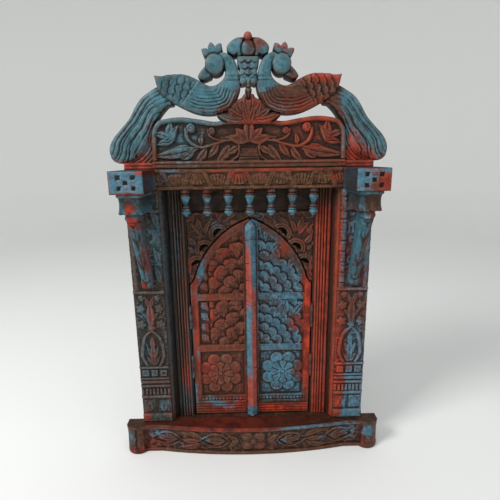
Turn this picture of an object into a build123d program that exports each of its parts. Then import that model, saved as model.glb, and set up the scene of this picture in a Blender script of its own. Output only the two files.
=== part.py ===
from build123d import *
from math import cos, dist, pi, radians, sin, sqrt
import os

# Jharokha window: a carved and painted timber window with its frame.
# Everything is drawn on the face: x to the right, y up from the floor, z out from the wall plane.
# All sizes are millimetres.

# Overrun of every cutting solid past the face that it cuts
overrun = 2.0

# Two points of an outline nearer than this are one
same_point = 0.001

# Sill: a bowed beam with a horn at each end
sill_height = 70.0
sill_half_length = 293.0
sill_bow_out = 76.0
sill_waist_out = 57.0
sill_waist_run = 36.0
sill_horn_width = 45.0
sill_horn_out = 66.0
sill_horn_back = 31.0
sill_overhang = 39.0
sill_border = 9.0
sill_relief = 3.0
sill_flower_across = 14.0
sill_flower_up = 10.0
sill_petal_radius = 12.0
sill_oval_length = 62.0
sill_oval_height = 34.0
sill_oval_rim = 5.0
sill_leaf_length = 46.0
sill_leaf_width = 14.0
sill_spray_angles = (-64.0, -116.0)

# Leaf ovals along the sill, as shares of the run from its middle to a horn
sill_oval_shares = (0.350, 0.795)

# Columns: carved pilasters that stand on the sill and carry the corbel blocks
column_top = 605.0
column_width = 68.0
column_out = 46.0
column_relief = 4.0
column_margin = 5.0
column_plinth_height = 24.0
column_band_height = 7.0
column_band_gap = 5.0
column_band_count = 2
column_top_band = 385.0
column_flute_height = 15.0
column_flute_width = 6.0
column_square = 15.0
column_square_gap = 8.0
column_panel_height = 36.0
column_niche_height = 88.0
column_niche_rim = 7.0
column_bud_length = 66.0
column_bud_width = 24.0
column_leaf_length = 48.0
column_leaf_width = 17.0
column_bead_width = 9.0
column_niche_angles = (-38.0, 38.0)
column_low_angles = (-40.0, 40.0)
column_high_angles = (-32.0, 32.0)

# Beam layer: corbel blocks over the columns and the lintel between them
beam_height = 41.0
block_width = 62.0
block_out = 144.0
block_pocket = 7.5
block_pocket_depth = 3.0
lintel_out = 49.0
lintel_relief = 4.0
lintel_border = 6.0
lintel_bar_width = 13.0
lintel_bar_lean = 20.0
lintel_bar_count = 9

# Capitals under the blocks, and the struts that lean out to them
capital_width = 46.0
capital_neck_width = 39.0
capital_height = 38.0
capital_out = 138.0
capital_toe = 14.0
capital_scallop = 6.5
strut_width = 26.0
strut_foot = 398.0
strut_foot_height = 46.0
strut_head_depth = 34.0
strut_knob_radius = 13.0
strut_groove = 2.0

# Jambs: reeded inner frame, with the stop that the leaves close on
jamb_width = 49.6
jamb_margin = 3.1
reed_count = 4
reed_width = 6.0
reed_rise = 5.0
jamb_bead_width = 10.0
jamb_bead_rise = 3.0
jamb_splay_out = 41.0
stop_width = 8.0
stop_clearance = 0.6
stop_joint_gap = 0.4

# Leaves in the pointed arch
leaf_back = 4.0
leaf_thickness = 18.0
leaf_gap = 2.4
arch_spring = 397.0
arch_top_margin = 11.5
arch_foot_in = 13.9
arch_foot_rise = 22.0
arch_flick = 1.8
haunch_share = (0.73, 0.49)
leaf_stile = 18.0
leaf_inner_margin = 16.0
leaf_panel_sink = 5.0
leaf_bottom_rail = 50.0
leaf_rail = 16.0
leaf_flower_panel = 114.0
leaf_middle_panel = 108.0
leaf_swing_clearance = 0.4
leaf_bottom_reed = 7.0
leaf_bottom_reed_sink = 2.0
leaf_bottom_reed_count = 2
flower_eye_radius = 5.0
flower_petals = 8
flower_petal_facets = 6

# Round petals of the leaf flower, as shares of its panel's width: reach of their middles, then radius
outer_petal_share = (0.37, 0.148)
inner_petal_share = (0.19, 0.09)

# Fans of scales on the right leaf and of lobes on the left leaf
scale_width = 17.0
scale_row = 24.0
scale_rows = 4
scale_step = 1.0
lobe_width = 30.0
lobe_row = 36.0
lobe_rows = 3

# Cover strip on the left leaf, lapping the right leaf
strip_width = 27.0
strip_rise = 13.0
strip_edge = 4.0
strip_ridge = 9.0
strip_point = 17.0
strip_floor_gap = 1.6
strip_top_gap = 5.0
strip_lap_gap = 0.5

# Arch panel, header board and pendants
header_height = 49.0
piercing_length = 22.0
piercing_width = 10.0
header_out = 15.0
pendant_count = 7
pendant_end_gap = 4.4
pendant_length = 55.0
pendant_radius = 10.0
pendant_out = 36.0

# Profile of a turned pendant, from the top: share of its length, then of its radius
pendant_shares = [
    (0.00, 0.90), (0.11, 0.98), (0.15, 0.60), (0.24, 1.00), (0.34, 0.90), (0.62, 0.50), (0.70, 0.84),
    (0.78, 0.52), (0.88, 0.90), (1.00, 0.25),
]

# Half-moon piercings along the arch: shares of the half width and of the board's height, and their turn
piercing_shares = [(0.51, 0.733, -130.0), (0.74, 0.522, -150.0), (0.872, 0.296, -155.0)]

# Butt hinges of iron
hinge_length = 55.0
hinge_upper_height = 322.0
hinge_lower_height = 198.0
flap_thickness = 1.0
flap_depth = 15.0
barrel_radius = 3.2
barrel_clearance = 0.3
pin_radius = 1.6
pin_clearance = 0.05
knuckle_gap = 0.4
knuckle_count = 3

# Crest: two boards glued edge to edge, with peacocks, tails, panel and finial
crest_inset = 16.0
crest_height = 247.0
crest_back = 4.0
crest_out = 50.0
crest_tail_step = 6.0
crest_ground_step = 10.0
crest_foot_height = 13.0
crest_border = 8.0
crest_groove = 3.0
crest_groove_depth = 2.5
crest_leaf_rise = 5.0
feather_scale_radius = 11.0
feather_scale_rise = 2.0
head_rise = 5.0
finial_stem_width = 8.0

# Joint of the two boards as a share of the height, foot as a share of the half width, rounds of both
crest_joint_share = 0.409
crest_foot_share = 0.9025
head_radius_share = 0.0706
crown_radius_share = 0.0324

# Outlines of the crest, as shares of its half width and its height, right side
peacock_outer_shares = [
    (0.229, 0.855), (0.161, 0.861), (0.106, 0.825), (0.077, 0.768), (0.060, 0.681), (0.060, 0.600),
    (0.113, 0.477), (0.184, 0.432), (0.290, 0.416), (0.396, 0.438), (0.534, 0.512), (0.615, 0.590),
    (0.645, 0.704),
]
peacock_inner_shares = [
    (0.645, 0.704), (0.540, 0.706), (0.440, 0.710), (0.359, 0.681), (0.277, 0.628), (0.221, 0.633),
    (0.171, 0.676), (0.157, 0.726), (0.169, 0.776),
]
head_share = (0.231, 0.777)
beak_shares = [(0.265, 0.775), (0.312, 0.765), (0.346, 0.700), (0.318, 0.672), (0.285, 0.700)]
crown_shares = [(0.231, 0.850), (0.281, 0.862), (0.240, 0.897), (0.195, 0.890)]
tail_shares = [
    (0.575, 0.640), (0.713, 0.574), (0.781, 0.501), (0.838, 0.397), (0.900, 0.321), (0.964, 0.245),
    (1.000, 0.160), (0.980, 0.075), (0.905, 0.048), (0.787, 0.102), (0.700, 0.205), (0.681, 0.295),
    (0.623, 0.431), (0.534, 0.505),
]
upper_tail_groove_shares = [
    [(0.680, 0.545), (0.720, 0.500), (0.760, 0.440)],
    [(0.625, 0.540), (0.665, 0.490), (0.700, 0.430)],
]
lower_tail_groove_shares = [
    [(0.795, 0.375), (0.845, 0.290), (0.895, 0.200), (0.905, 0.110)],
    [(0.715, 0.375), (0.755, 0.290), (0.795, 0.210), (0.800, 0.150)],
]
feather_groove_shares = [
    [(0.105, 0.640), (0.170, 0.565), (0.280, 0.520), (0.400, 0.545)],
    [(0.100, 0.565), (0.180, 0.495), (0.300, 0.470), (0.430, 0.510)],
]
wing_scale_shares = [
    (0.400, 0.640), (0.470, 0.655), (0.545, 0.660), (0.425, 0.585), (0.495, 0.600), (0.570, 0.615),
    (0.500, 0.545),
]
finial_shares = [
    (0.000, 1.000), (0.030, 0.975), (0.070, 0.965), (0.120, 0.940), (0.143, 0.900), (0.130, 0.857),
    (0.080, 0.825), (0.070, 0.780), (0.068, 0.710), (0.056, 0.650),
]
panel_edge_shares = [
    (0.690, 0.240), (0.664, 0.360), (0.600, 0.382), (0.483, 0.399), (0.360, 0.384), (0.240, 0.360),
    (0.171, 0.372),
]
mound_shares = [(0.171, 0.372), (0.200, 0.430), (0.127, 0.452), (0.084, 0.506), (0.000, 0.565)]
scroll_shares = [(0.365, 0.285), (0.235, 0.290)]
scroll_radius = 11.0
spray_shares = [
    (0.135, 0.215), (0.235, 0.190), (0.335, 0.170), (0.440, 0.150),
]
spray_length = 50.0
spray_width = 13.0
spray_angle = -121.0
bunch_share = (0.500, 0.130)
bunch_leaf_angles = (12.0, -16.0, -46.0, -74.0)
bunch_leaf_length = 52.0
bunch_leaf_width = 19.0
lotus_length = 42.0
lotus_width = 20.0
lotus_share = (0.0, 0.235)
lotus_side_angle = 48.0

# Widest place of a leaf or petal along its length
belly_share = 0.45

# Knife facets of a round cut: half a petal, a groove, a small round, a head, a scallop and long curved edges
petal_facets = 3
groove_facets = 5
round_facets = 8
head_facets = 16
scallop_facets = 3
edge_facets = 4
crest_facets = 18
arch_facets = 12
bow_facets = 10

# Working sizes
overall_depth = block_out
leaf_face = leaf_back + leaf_thickness
column_outer = sill_half_length - sill_overhang
column_inner = column_outer - column_width
column_axis = column_inner + column_width / 2
column_ground = column_out - column_relief
jamb_face = column_inner - jamb_width
panel_top = column_top - header_height
arch_apex = panel_top - arch_top_margin
arch_foot_across = jamb_face - arch_foot_in
leaf_edge = jamb_face - leaf_gap
pivot_across = jamb_face - leaf_gap / 2
pivot_out = leaf_face + barrel_radius + barrel_clearance
pivot_depth = pivot_out - leaf_back
leaf_reach = sqrt((pivot_across - leaf_swing_clearance) ** 2 - pivot_depth ** 2)
leaf_meeting = pivot_across - leaf_reach
pendant_pitch = 2 * (jamb_face - pendant_end_gap) / (pendant_count - 1)
beam_bottom = column_top
beam_top = beam_bottom + beam_height
block_inner = column_axis - block_width / 2
capital_bottom = beam_bottom - capital_height
strut_head_front = capital_out - capital_toe
strut_head_back = strut_head_front - strut_head_depth
crest_bottom = beam_top
crest_half_width = sill_half_length - crest_inset
crest_joint = crest_joint_share * crest_height
crest_foot_half_length = crest_foot_share * crest_half_width
crest_mean = (crest_half_width + crest_height) / 2
head_radius = head_radius_share * crest_mean
crown_radius = crown_radius_share * crest_mean

wall = Plane(origin=(0, overall_depth / 2, 0), x_dir=(1, 0, 0), z_dir=(0, -1, 0))
outward = (0, 0, 1)


def prism(face, start, stop):
    return extrude(Pos(0, 0, start) * face, amount=stop - start, dir=outward)


def plan_prism(face, bottom, top):
    level = Plane(origin=(0, bottom, 0), x_dir=(1, 0, 0), z_dir=(0, -1, 0))
    return extrude(level * face, amount=top - bottom, dir=(0, 1, 0))


def side_prism(face, across, width):
    side = Plane(origin=(across, 0, 0), x_dir=(0, 0, 1), z_dir=(-1, 0, 0))
    return extrude(side * face, amount=width / 2, both=True)


def bar(left, right, bottom, top):
    return Pos((left + right) / 2, (bottom + top) / 2) * Rectangle(right - left, top - bottom)


def along(curve, count):
    return [tuple(curve @ (step / count))[:2] for step in range(count + 1)]


def cut_face(*runs):
    points = []
    for run in runs:
        for point in run:
            if not points or dist(point, points[-1]) > same_point:
                points.append(point)
    if dist(points[0], points[-1]) < same_point:
        points.pop()
    return make_face(Polyline(*points, close=True))


def disc(radius, facets=round_facets):
    return RegularPolygon(radius, facets)


def petal(across, up, angle, length, width):
    belly = length * belly_share
    right = along(ThreePointArc((0, 0), (width / 2, belly), (0, length)), petal_facets)
    left = [(-point[0], point[1]) for point in reversed(right)]
    return Pos(across, up) * Rot(0, 0, angle) * cut_face(right, left)


def band_along(points, width):
    path = Spline(*points)
    there, back = [], []
    for step in range(groove_facets + 1):
        at = path @ (step / groove_facets)
        aside = (path % (step / groove_facets)).rotate(Axis.Z, 90) * (width / 2)
        there.append(tuple(at + aside)[:2])
        back.append(tuple(at - aside)[:2])
    back.reverse()
    return cut_face(there, back)


def flipped(shape):
    return mirror(shape, about=Plane.YZ)


def both_sides(shapes):
    return list(shapes) + [flipped(shape) for shape in shapes]


def crest_point(share):
    return (share[0] * crest_half_width, crest_bottom + share[1] * crest_height)


def crest_points(shares):
    return [crest_point(share) for share in shares]


# Sill

def oval(half_length, half_height):
    turn = 2 * pi / round_facets
    return cut_face([
        (half_length * cos(number * turn), half_height * sin(number * turn)) for number in range(round_facets)
    ])


def sill_plan(proud):
    horn_start = sill_half_length - sill_horn_width
    horn_mid = sill_half_length - sill_horn_width / 2
    waist = (horn_start - sill_waist_run, sill_waist_out + proud)
    tip = (sill_half_length, (sill_horn_out + sill_horn_back) / 2)
    bow = ThreePointArc((-waist[0], waist[1]), (0, sill_bow_out + proud), waist)
    horn = ThreePointArc((horn_start, sill_waist_out + proud), (horn_mid, sill_horn_out), tip)
    right = along(horn, 2 * edge_facets) + [
        (sill_half_length, sill_horn_back), (column_outer, sill_horn_back), (column_outer, 0),
    ]
    left = [(-point[0], point[1]) for point in reversed(right)]
    return cut_face(along(bow, bow_facets), right, left)


def make_sill():
    body = plan_prism(sill_plan(-sill_relief), 0, sill_height)
    skin = plan_prism(sill_plan(0), 0, sill_height)
    middle = sill_height / 2
    reach = sill_half_length - sill_horn_width
    motifs = [bar(-reach, reach, 0, sill_border), bar(-reach, reach, sill_height - sill_border, sill_height)]
    side = []
    for rise in (-sill_flower_up, sill_flower_up):
        side.append(Pos(sill_flower_across, middle + rise) * disc(sill_petal_radius))
    places = [reach * share for share in sill_oval_shares]
    for place in places:
        rim = oval(sill_oval_length / 2, sill_oval_height / 2)
        hole = oval(sill_oval_length / 2 - sill_oval_rim, sill_oval_height / 2 - sill_oval_rim)
        side.append(Pos(place, middle) * (rim - hole))
        side.append(petal(place - sill_leaf_length / 2, middle, -90, sill_leaf_length, sill_leaf_width))
    spray = places[0] + sill_oval_length / 2 - sill_oval_rim / 2
    for angle in sill_spray_angles:
        side.append(petal(spray, middle, angle, sill_leaf_length, sill_leaf_width))
    motifs += both_sides(side)
    front = sill_bow_out + overrun
    reliefs = [prism(motif, sill_horn_back, front) & skin for motif in motifs]
    return body + reliefs


# Columns

def make_column():
    column = prism(bar(column_inner, column_outer, sill_height, column_top), 0, column_ground)
    left, right = column_inner + column_margin, column_outer - column_margin
    level = sill_height + column_plinth_height
    motifs = [bar(column_inner, column_outer, sill_height, level)]
    for place in (column_axis - column_width / 4, column_axis + column_width / 4):
        length = column_panel_height - 2 * column_band_gap
        motifs.append(petal(place, level + column_band_gap, 0, length, column_leaf_width))
    level += column_panel_height
    motifs.append(bar(column_inner, column_outer, level, level + column_band_height))
    level += column_band_height + column_band_gap
    for number in range(reed_count):
        place = left + (number + 1 / 2) * (right - left) / reed_count
        flute = Rectangle(column_flute_width, column_flute_height)
        motifs.append(Pos(place, level + column_flute_height / 2) * flute)
    level += column_flute_height
    for _ in range(column_band_count):
        level += column_band_gap
        motifs.append(bar(column_inner, column_outer, level, level + column_band_height))
        level += column_band_height
    level += column_square_gap
    for place in (left + column_square / 2, column_axis, right - column_square / 2):
        motifs.append(Pos(place, level + column_square / 2) * Rectangle(column_square, column_square))
    level += column_square + column_square_gap
    inside_width = right - left - 2 * column_niche_rim
    inside = niche(level - overrun, inside_width, column_niche_height - column_niche_rim + overrun)
    motifs.append(niche(level, right - left, column_niche_height) - inside)
    motifs.append(petal(column_axis, level, 0, column_leaf_length, column_bud_width))
    for angle in column_niche_angles:
        motifs.append(petal(column_axis, level, angle, column_leaf_length / 2, column_leaf_width / 2))
    level += column_niche_height - column_niche_rim / 2
    motifs.append(petal(column_axis, level, 0, column_bud_length, column_bud_width))
    for angle in column_low_angles:
        motifs.append(petal(column_axis, level, angle, column_leaf_length, column_leaf_width))
    level += column_leaf_length / 2
    for angle in column_high_angles:
        motifs.append(petal(column_axis, level, angle, column_leaf_length, column_leaf_width))
    motifs.append(bar(column_inner, column_outer, column_top_band, column_top_band + column_band_height))
    shoulder = strut_foot + strut_foot_height
    for place in (left, right - column_bead_width):
        motifs.append(bar(place, place + column_bead_width, shoulder, capital_bottom))
    edge = bar(column_inner, column_outer, sill_height, column_top)
    reliefs = [prism(motif & edge, column_ground - overrun, column_out) for motif in motifs]
    return column + reliefs


def niche(base, width, height):
    half = width / 2
    foot_left, foot_right = (column_axis - half, base), (column_axis + half, base)
    eave = base + height / 2
    eave_left, eave_right = (column_axis - half, eave), (column_axis + half, eave)
    top = (column_axis, base + height)
    belly = half * sin(pi / 4)
    rise = height / 2 * sin(pi / 4)
    right = ThreePointArc(eave_right, (column_axis + belly, eave + rise), top)
    left = ThreePointArc(top, (column_axis - belly, eave + rise), eave_left)
    return cut_face([foot_left, foot_right], along(right, edge_facets), along(left, edge_facets))


# Corbel blocks, capitals and struts

def make_block():
    face = Pos(column_axis, (beam_bottom + beam_top) / 2)
    block = prism(face * Rectangle(block_width, beam_height), 0, block_out)
    reach, rise = block_width / 4, beam_height / 4
    places = [(0, 0), (-reach, -rise), (reach, -rise), (-reach, rise), (reach, rise)]
    pocket = Rectangle(block_pocket, block_pocket)
    cuts = [
        prism(face * Pos(*place) * pocket, block_out - block_pocket_depth, block_out + overrun)
        for place in places
    ]
    return block - cuts


def make_capital():
    half, neck = capital_width / 2, capital_neck_width / 2
    waist = capital_bottom + capital_height / 2
    right = ThreePointArc((half, beam_bottom), (neck, waist), (half, capital_bottom))
    left = ThreePointArc((-half, capital_bottom), (-neck, waist), (-half, beam_bottom))
    bell = Pos(column_axis, 0) * cut_face(along(right, edge_facets), along(left, edge_facets))
    capital = prism(bell, column_ground, capital_out)
    chin, lip = (strut_head_front, capital_bottom), (capital_out, beam_bottom)
    toe = ThreePointArc(chin, (capital_out - capital_toe / 4, waist), lip)
    foot, head = (column_ground, capital_bottom), (column_ground, beam_bottom)
    profile = cut_face([foot], along(toe, edge_facets), [head])
    capital &= side_prism(profile, column_axis, capital_width + overrun)
    third = capital_width / 3
    cuts = []
    for place in (-third, 0, third):
        notch = Pos(column_axis + place, capital_bottom) * disc(capital_scallop)
        cuts.append(prism(notch, strut_head_front, capital_out + overrun))
    return capital - cuts


def make_strut():
    rise, run = capital_bottom - strut_foot, strut_head_front - column_ground
    knob = (strut_head_front - strut_knob_radius, capital_bottom - strut_knob_radius)
    back_shares = [(0.0, 0.27), (0.16, 0.44), (0.38, 0.72)]
    front_shares = [(1.0, 1.0), (0.93, 0.80), (0.72, 0.56), (0.50, 0.30), (0.30, 0.06), (0.0, 0.0)]
    back = [(column_ground + share[0] * run, strut_foot + share[1] * rise) for share in back_shares]
    front = [(column_ground + share[0] * run, strut_foot + share[1] * rise) for share in front_shares]
    back.append((strut_head_back, capital_bottom))
    profile = cut_face(along(Spline(*back), 2 * edge_facets), along(Spline(*front), 2 * edge_facets))
    strut = side_prism(profile, column_axis, strut_width)
    roll = side_prism(Pos(*knob) * disc(strut_knob_radius), column_axis, strut_width + 2 * strut_groove)
    foot_at = (column_ground + strut_knob_radius, strut_foot + strut_knob_radius)
    foot = side_prism(Pos(*foot_at) * disc(strut_knob_radius), column_axis, strut_width + 2 * strut_groove)
    return strut + [roll, foot]


# Lintel

def make_lintel():
    ground = lintel_out - lintel_relief
    bottom, top = beam_bottom, beam_top
    lintel = prism(bar(-block_inner, block_inner, bottom, top), 0, ground)
    field_bottom, field_top = bottom + lintel_border, top - lintel_border
    motifs = [
        bar(-block_inner, block_inner, bottom, field_bottom),
        bar(-block_inner, block_inner, field_top, top),
    ]
    pitch = 2 * block_inner / lintel_bar_count
    for number in range(lintel_bar_count):
        place = -block_inner + (number + 1 / 2) * pitch
        lean = lintel_bar_lean if number % 2 else -lintel_bar_lean
        low, high = place - lean / 2, place + lean / 2
        half = lintel_bar_width / 2
        motifs.append(make_face(Polyline(
            (low - half, field_bottom), (low + half, field_bottom),
            (high + half, field_top), (high - half, field_top), close=True)))
    return lintel + [prism(motif, ground - overrun, lintel_out) for motif in motifs]


# Jambs

def make_jamb():
    reeds_start = jamb_face + jamb_margin
    stop_out = leaf_back - stop_clearance
    stop_edge = jamb_face - stop_width
    points = [
        (column_inner, 0), (stop_edge, 0), (stop_edge, stop_out),
        (jamb_face, stop_out), (jamb_face, leaf_face),
    ]
    near = reeds_start
    for width, rise in [(reed_width, reed_rise)] * reed_count + [(jamb_bead_width, jamb_bead_rise)]:
        crown = (near + width / 2, leaf_face + rise)
        points += along(ThreePointArc((near, leaf_face), crown, (near + width, leaf_face)), edge_facets)
        near += width
    return plan_prism(cut_face(points, [(column_inner, jamb_splay_out)]), sill_height, column_top)


# Arch, leaves and cover strip

def arch_opening():
    spring, apex = (jamb_face, arch_spring), (0, arch_apex)
    foot = (arch_foot_across, arch_spring + arch_foot_rise)
    flick = ((spring[0] + foot[0]) / 2 - arch_flick, (spring[1] + foot[1]) / 2 - arch_flick)
    haunch = (foot[0] * haunch_share[0], foot[1] + (apex[1] - foot[1]) * haunch_share[1])
    right = along(ThreePointArc(spring, flick, foot), edge_facets)
    right += along(ThreePointArc(foot, haunch, apex), arch_facets)
    left = [(-point[0], point[1]) for point in reversed(right)]
    return cut_face(right, left, [(-jamb_face, sill_height), (jamb_face, sill_height)])


def make_arch_panel(opening):
    board = bar(-jamb_face, jamb_face, arch_spring, panel_top)
    panel = prism(board - opening, leaf_back, leaf_face)
    reach = jamb_face - stop_width - stop_joint_gap
    inner_board = bar(-reach, reach, arch_spring, panel_top)
    lip = inner_board - offset(opening, amount=-stop_width, kind=Kind.INTERSECTION)
    backing = prism(lip, 0, leaf_back - stop_clearance) + prism(inner_board - opening, 0, leaf_back)
    holes = []
    for across_share, up_share, angle in piercing_shares:
        centre = Pos(across_share * jamb_face, arch_spring + up_share * (panel_top - arch_spring))
        moon = petal(0, -piercing_length / 2, 0, piercing_length, piercing_width)
        holes.append(centre * Rot(0, 0, angle) * moon)
    return panel - [prism(hole, leaf_back, leaf_face + overrun) for hole in both_sides(holes)] + backing


def make_header():
    return prism(bar(-jamb_face, jamb_face, panel_top, column_top), leaf_back, header_out)


def leaf_outline(opening):
    inner = offset(opening, amount=-leaf_gap, kind=Kind.INTERSECTION)
    return inner & bar(leaf_meeting, jamb_face, sill_height, arch_apex)


def scalloped_fan(corner, rows, row, width, field, ground):
    plates = []
    for number in range(rows, 0, -1):
        reach = number * row
        count = max(2, round(reach * pi / 2 / width))
        lobe = width / 2
        waist = reach - lobe
        points = [(0, 0)]
        for place in range(count):
            ends = [radians(90 * (place + share) / count) for share in (0, 1 / 2, 1)]
            low, mid, high = [(cos(angle) * waist, sin(angle) * waist) for angle in ends]
            mid = (cos(ends[1]) * reach, sin(ends[1]) * reach)
            points += along(ThreePointArc(low, mid, high), scallop_facets)
        face = (Pos(*corner) * cut_face(points)) & field
        rise = ground + scale_step * (rows + 1 - number)
        plates.append(prism(face, ground - overrun, rise))
    return plates


def panel_flower(field, ground):
    centre = field.center()
    span = field.bounding_box().size.X
    outer_reach, outer_radius = [span * share for share in outer_petal_share]
    inner_reach, inner_radius = [span * share for share in inner_petal_share]
    outer, inner = [], []
    for number in range(flower_petals):
        middle = Pos(centre.X, centre.Y) * Rot(0, 0, number * 360 / flower_petals)
        between = middle * Rot(0, 0, 180 / flower_petals)
        outer.append(between * Pos(outer_reach, 0) * disc(outer_radius, flower_petal_facets))
        inner.append(middle * Pos(inner_reach, 0) * disc(inner_radius, flower_petal_facets))
    eye = Pos(centre.X, centre.Y) * disc(flower_eye_radius)
    plates = [prism(face, ground - overrun, ground + 2 * scale_step) for face in outer]
    plates += [prism(face, ground - overrun, ground + 3 * scale_step) for face in inner]
    plates.append(prism(eye, ground - overrun, ground + 4 * scale_step))
    return plates


def make_leaf(opening, row, rows, width):
    outline = leaf_outline(opening)
    leaf = prism(outline, leaf_back, leaf_face)
    left, right = leaf_inner_margin, leaf_edge - leaf_stile
    flower_bottom = sill_height + leaf_bottom_rail
    flower_top = flower_bottom + leaf_flower_panel
    middle_bottom = flower_top + leaf_rail
    middle_top = middle_bottom + leaf_middle_panel
    arch_bottom = middle_top + leaf_rail
    inset = offset(opening, amount=-leaf_gap - leaf_stile, kind=Kind.INTERSECTION)
    flower_field = bar(left, right, flower_bottom, flower_top)
    middle_field = bar(left, right, middle_bottom, middle_top)
    arch_field = bar(left, right, arch_bottom, arch_apex) & inset
    ground = leaf_face - leaf_panel_sink
    leaf -= [prism(field, ground, leaf_face + overrun) for field in (flower_field, middle_field, arch_field)]
    reed_bottom = sill_height + leaf_gap + leaf_bottom_reed
    grooves = []
    for number in range(leaf_bottom_reed_count):
        low = reed_bottom + 2 * number * leaf_bottom_reed
        groove = bar(left, right, low, low + leaf_bottom_reed)
        grooves.append(prism(groove, leaf_face - leaf_bottom_reed_sink, leaf_face + overrun))
    leaf -= grooves
    carving = panel_flower(flower_field, ground)
    carving += scalloped_fan((left, middle_bottom), rows, row, width, middle_field, ground)
    carving += scalloped_fan((left, arch_bottom), rows, row, width, arch_field, ground)
    return leaf + carving


def make_strip():
    bottom = sill_height + strip_floor_gap
    top = arch_apex - strip_top_gap
    half = strip_width / 2
    face = make_face(Polyline(
        (-half, bottom), (half, bottom), (half, top - strip_point), (0, top), (-half, top - strip_point),
        close=True))
    section = make_face(Polyline(
        (-half, leaf_face), (0, leaf_face), (0, leaf_face + strip_lap_gap), (half, leaf_face + strip_lap_gap),
        (half, leaf_face + strip_edge), (strip_ridge / 2, leaf_face + strip_rise),
        (-strip_ridge / 2, leaf_face + strip_rise), (-half, leaf_face + strip_edge), close=True))
    front = leaf_face + strip_rise + overrun
    return plan_prism(section, bottom, top) & prism(face, leaf_face - overrun, front)


# Pendants

def turned_ring(radius, level):
    turn = 2 * pi / round_facets
    return [
        (radius * cos(number * turn), level, radius * sin(number * turn)) for number in range(round_facets)
    ]


def make_pendants():
    rings = [
        turned_ring(pendant_radius * radius_share, column_top - pendant_length * length_share)
        for length_share, radius_share in pendant_shares
    ]
    bands = [ConvexPolyhedron(upper + lower, align=None) for upper, lower in zip(rings, rings[1:])]
    turned = bands[0]
    for band in bands[1:]:
        turned += band
    middle = (pendant_count - 1) / 2
    places = [(number - middle) * pendant_pitch for number in range(pendant_count)]
    return [Pos(place, 0, pendant_out) * turned for place in places]


# Hinges, right side

def hinge_place(level):
    return Pos(pivot_across, level, pivot_out)


def eye_bore():
    return disc((pin_radius + pin_clearance) / cos(pi / round_facets))


def knuckle(number):
    pitch = hinge_length / knuckle_count
    length = pitch - knuckle_gap
    ring = disc(barrel_radius) - eye_bore()
    low = number * pitch - hinge_length / 2 + knuckle_gap / 2
    return plan_prism(ring, low, low + length), low, low + length


def hinge_flap(numbers, side):
    inner_face = leaf_gap / 2
    near = side * (inner_face - flap_thickness)
    far = side * inner_face
    left, right = min(near, far), max(near, far)
    back = -(pivot_out - leaf_face) - flap_depth
    plate = prism(bar(left, right, -hinge_length / 2, hinge_length / 2), back, leaf_face - pivot_out)
    pieces = [plate]
    bore = plan_prism(eye_bore(), -hinge_length, hinge_length)
    for number in numbers:
        ring, low, high = knuckle(number)
        tongue = prism(bar(left, right, low, high), leaf_face - pivot_out - overrun, 0)
        pieces += [ring, tongue]
    flap = pieces[0]
    for piece in pieces[1:]:
        flap += piece
    return flap - bore


def hinge_pin():
    half = hinge_length / 2 - knuckle_gap / 2
    return plan_prism(Circle(pin_radius), -half, half)


# Crest

def peacock_face():
    outer = along(Spline(*crest_points(peacock_outer_shares)), crest_facets)
    inner = along(Spline(*crest_points(peacock_inner_shares)), crest_facets)
    beak = cut_face(crest_points(beak_shares))
    face = cut_face(outer, inner) + Pos(*crest_point(head_share)) * disc(head_radius, head_facets) + beak
    for share in crown_shares:
        face += Pos(*crest_point(share)) * disc(crown_radius)
    return face


def tail_face():
    return cut_face(along(Spline(*crest_points(tail_shares)), crest_facets))


def finial_face():
    right = along(Spline(*crest_points(finial_shares)), crest_facets)
    left = [(-point[0], point[1]) for point in reversed(right)]
    neck_bottom = right[-1][1]
    mound_top = crest_point(mound_shares[-1])[1]
    stem = bar(-finial_stem_width / 2, finial_stem_width / 2, mound_top - overrun, neck_bottom + overrun)
    return cut_face(right, left) + stem


def mound_face():
    right = crest_points(mound_shares)
    left = [(-point[0], point[1]) for point in right[:-1]]
    left.reverse()
    return make_face(Polyline(*(right + left), close=True))


def panel_face():
    edge = along(Spline(*crest_points(panel_edge_shares)), crest_facets)
    right = [(edge[0][0], crest_bottom)] + edge
    left = [(-point[0], point[1]) for point in reversed(right)]
    return cut_face(right, left)


def make_crest_upper():
    joint = crest_bottom + crest_joint
    above = bar(-crest_half_width - overrun, crest_half_width + overrun, joint, joint + crest_height)
    peacock, tail = peacock_face(), tail_face() & above
    mound = mound_face() & above
    tail_out = crest_out - crest_tail_step
    slabs = both_sides([prism(peacock, crest_back, crest_out), prism(tail, crest_back, tail_out)])
    slabs += [prism(finial_face(), crest_back, crest_out), prism(mound, crest_back, crest_out)]
    board = slabs[0]
    for slab in slabs[1:]:
        board += slab
    head = Pos(*crest_point(head_share)) * disc(head_radius, head_facets)
    raised = [prism(head, crest_out - overrun, crest_out + head_rise)]
    for share in wing_scale_shares:
        scale = Pos(*crest_point(share)) * disc(feather_scale_radius)
        raised.append(prism(scale, crest_out - overrun, crest_out + feather_scale_rise))
    board += both_sides(raised)
    grooves = []
    for shares in feather_groove_shares:
        groove = band_along(crest_points(shares), crest_groove)
        grooves.append(prism(groove, crest_out - crest_groove_depth, crest_out + head_rise))
    for shares in upper_tail_groove_shares:
        groove = band_along(crest_points(shares), crest_groove)
        grooves.append(prism(groove, tail_out - crest_groove_depth, tail_out + overrun))
    return board - both_sides(grooves)


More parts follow.
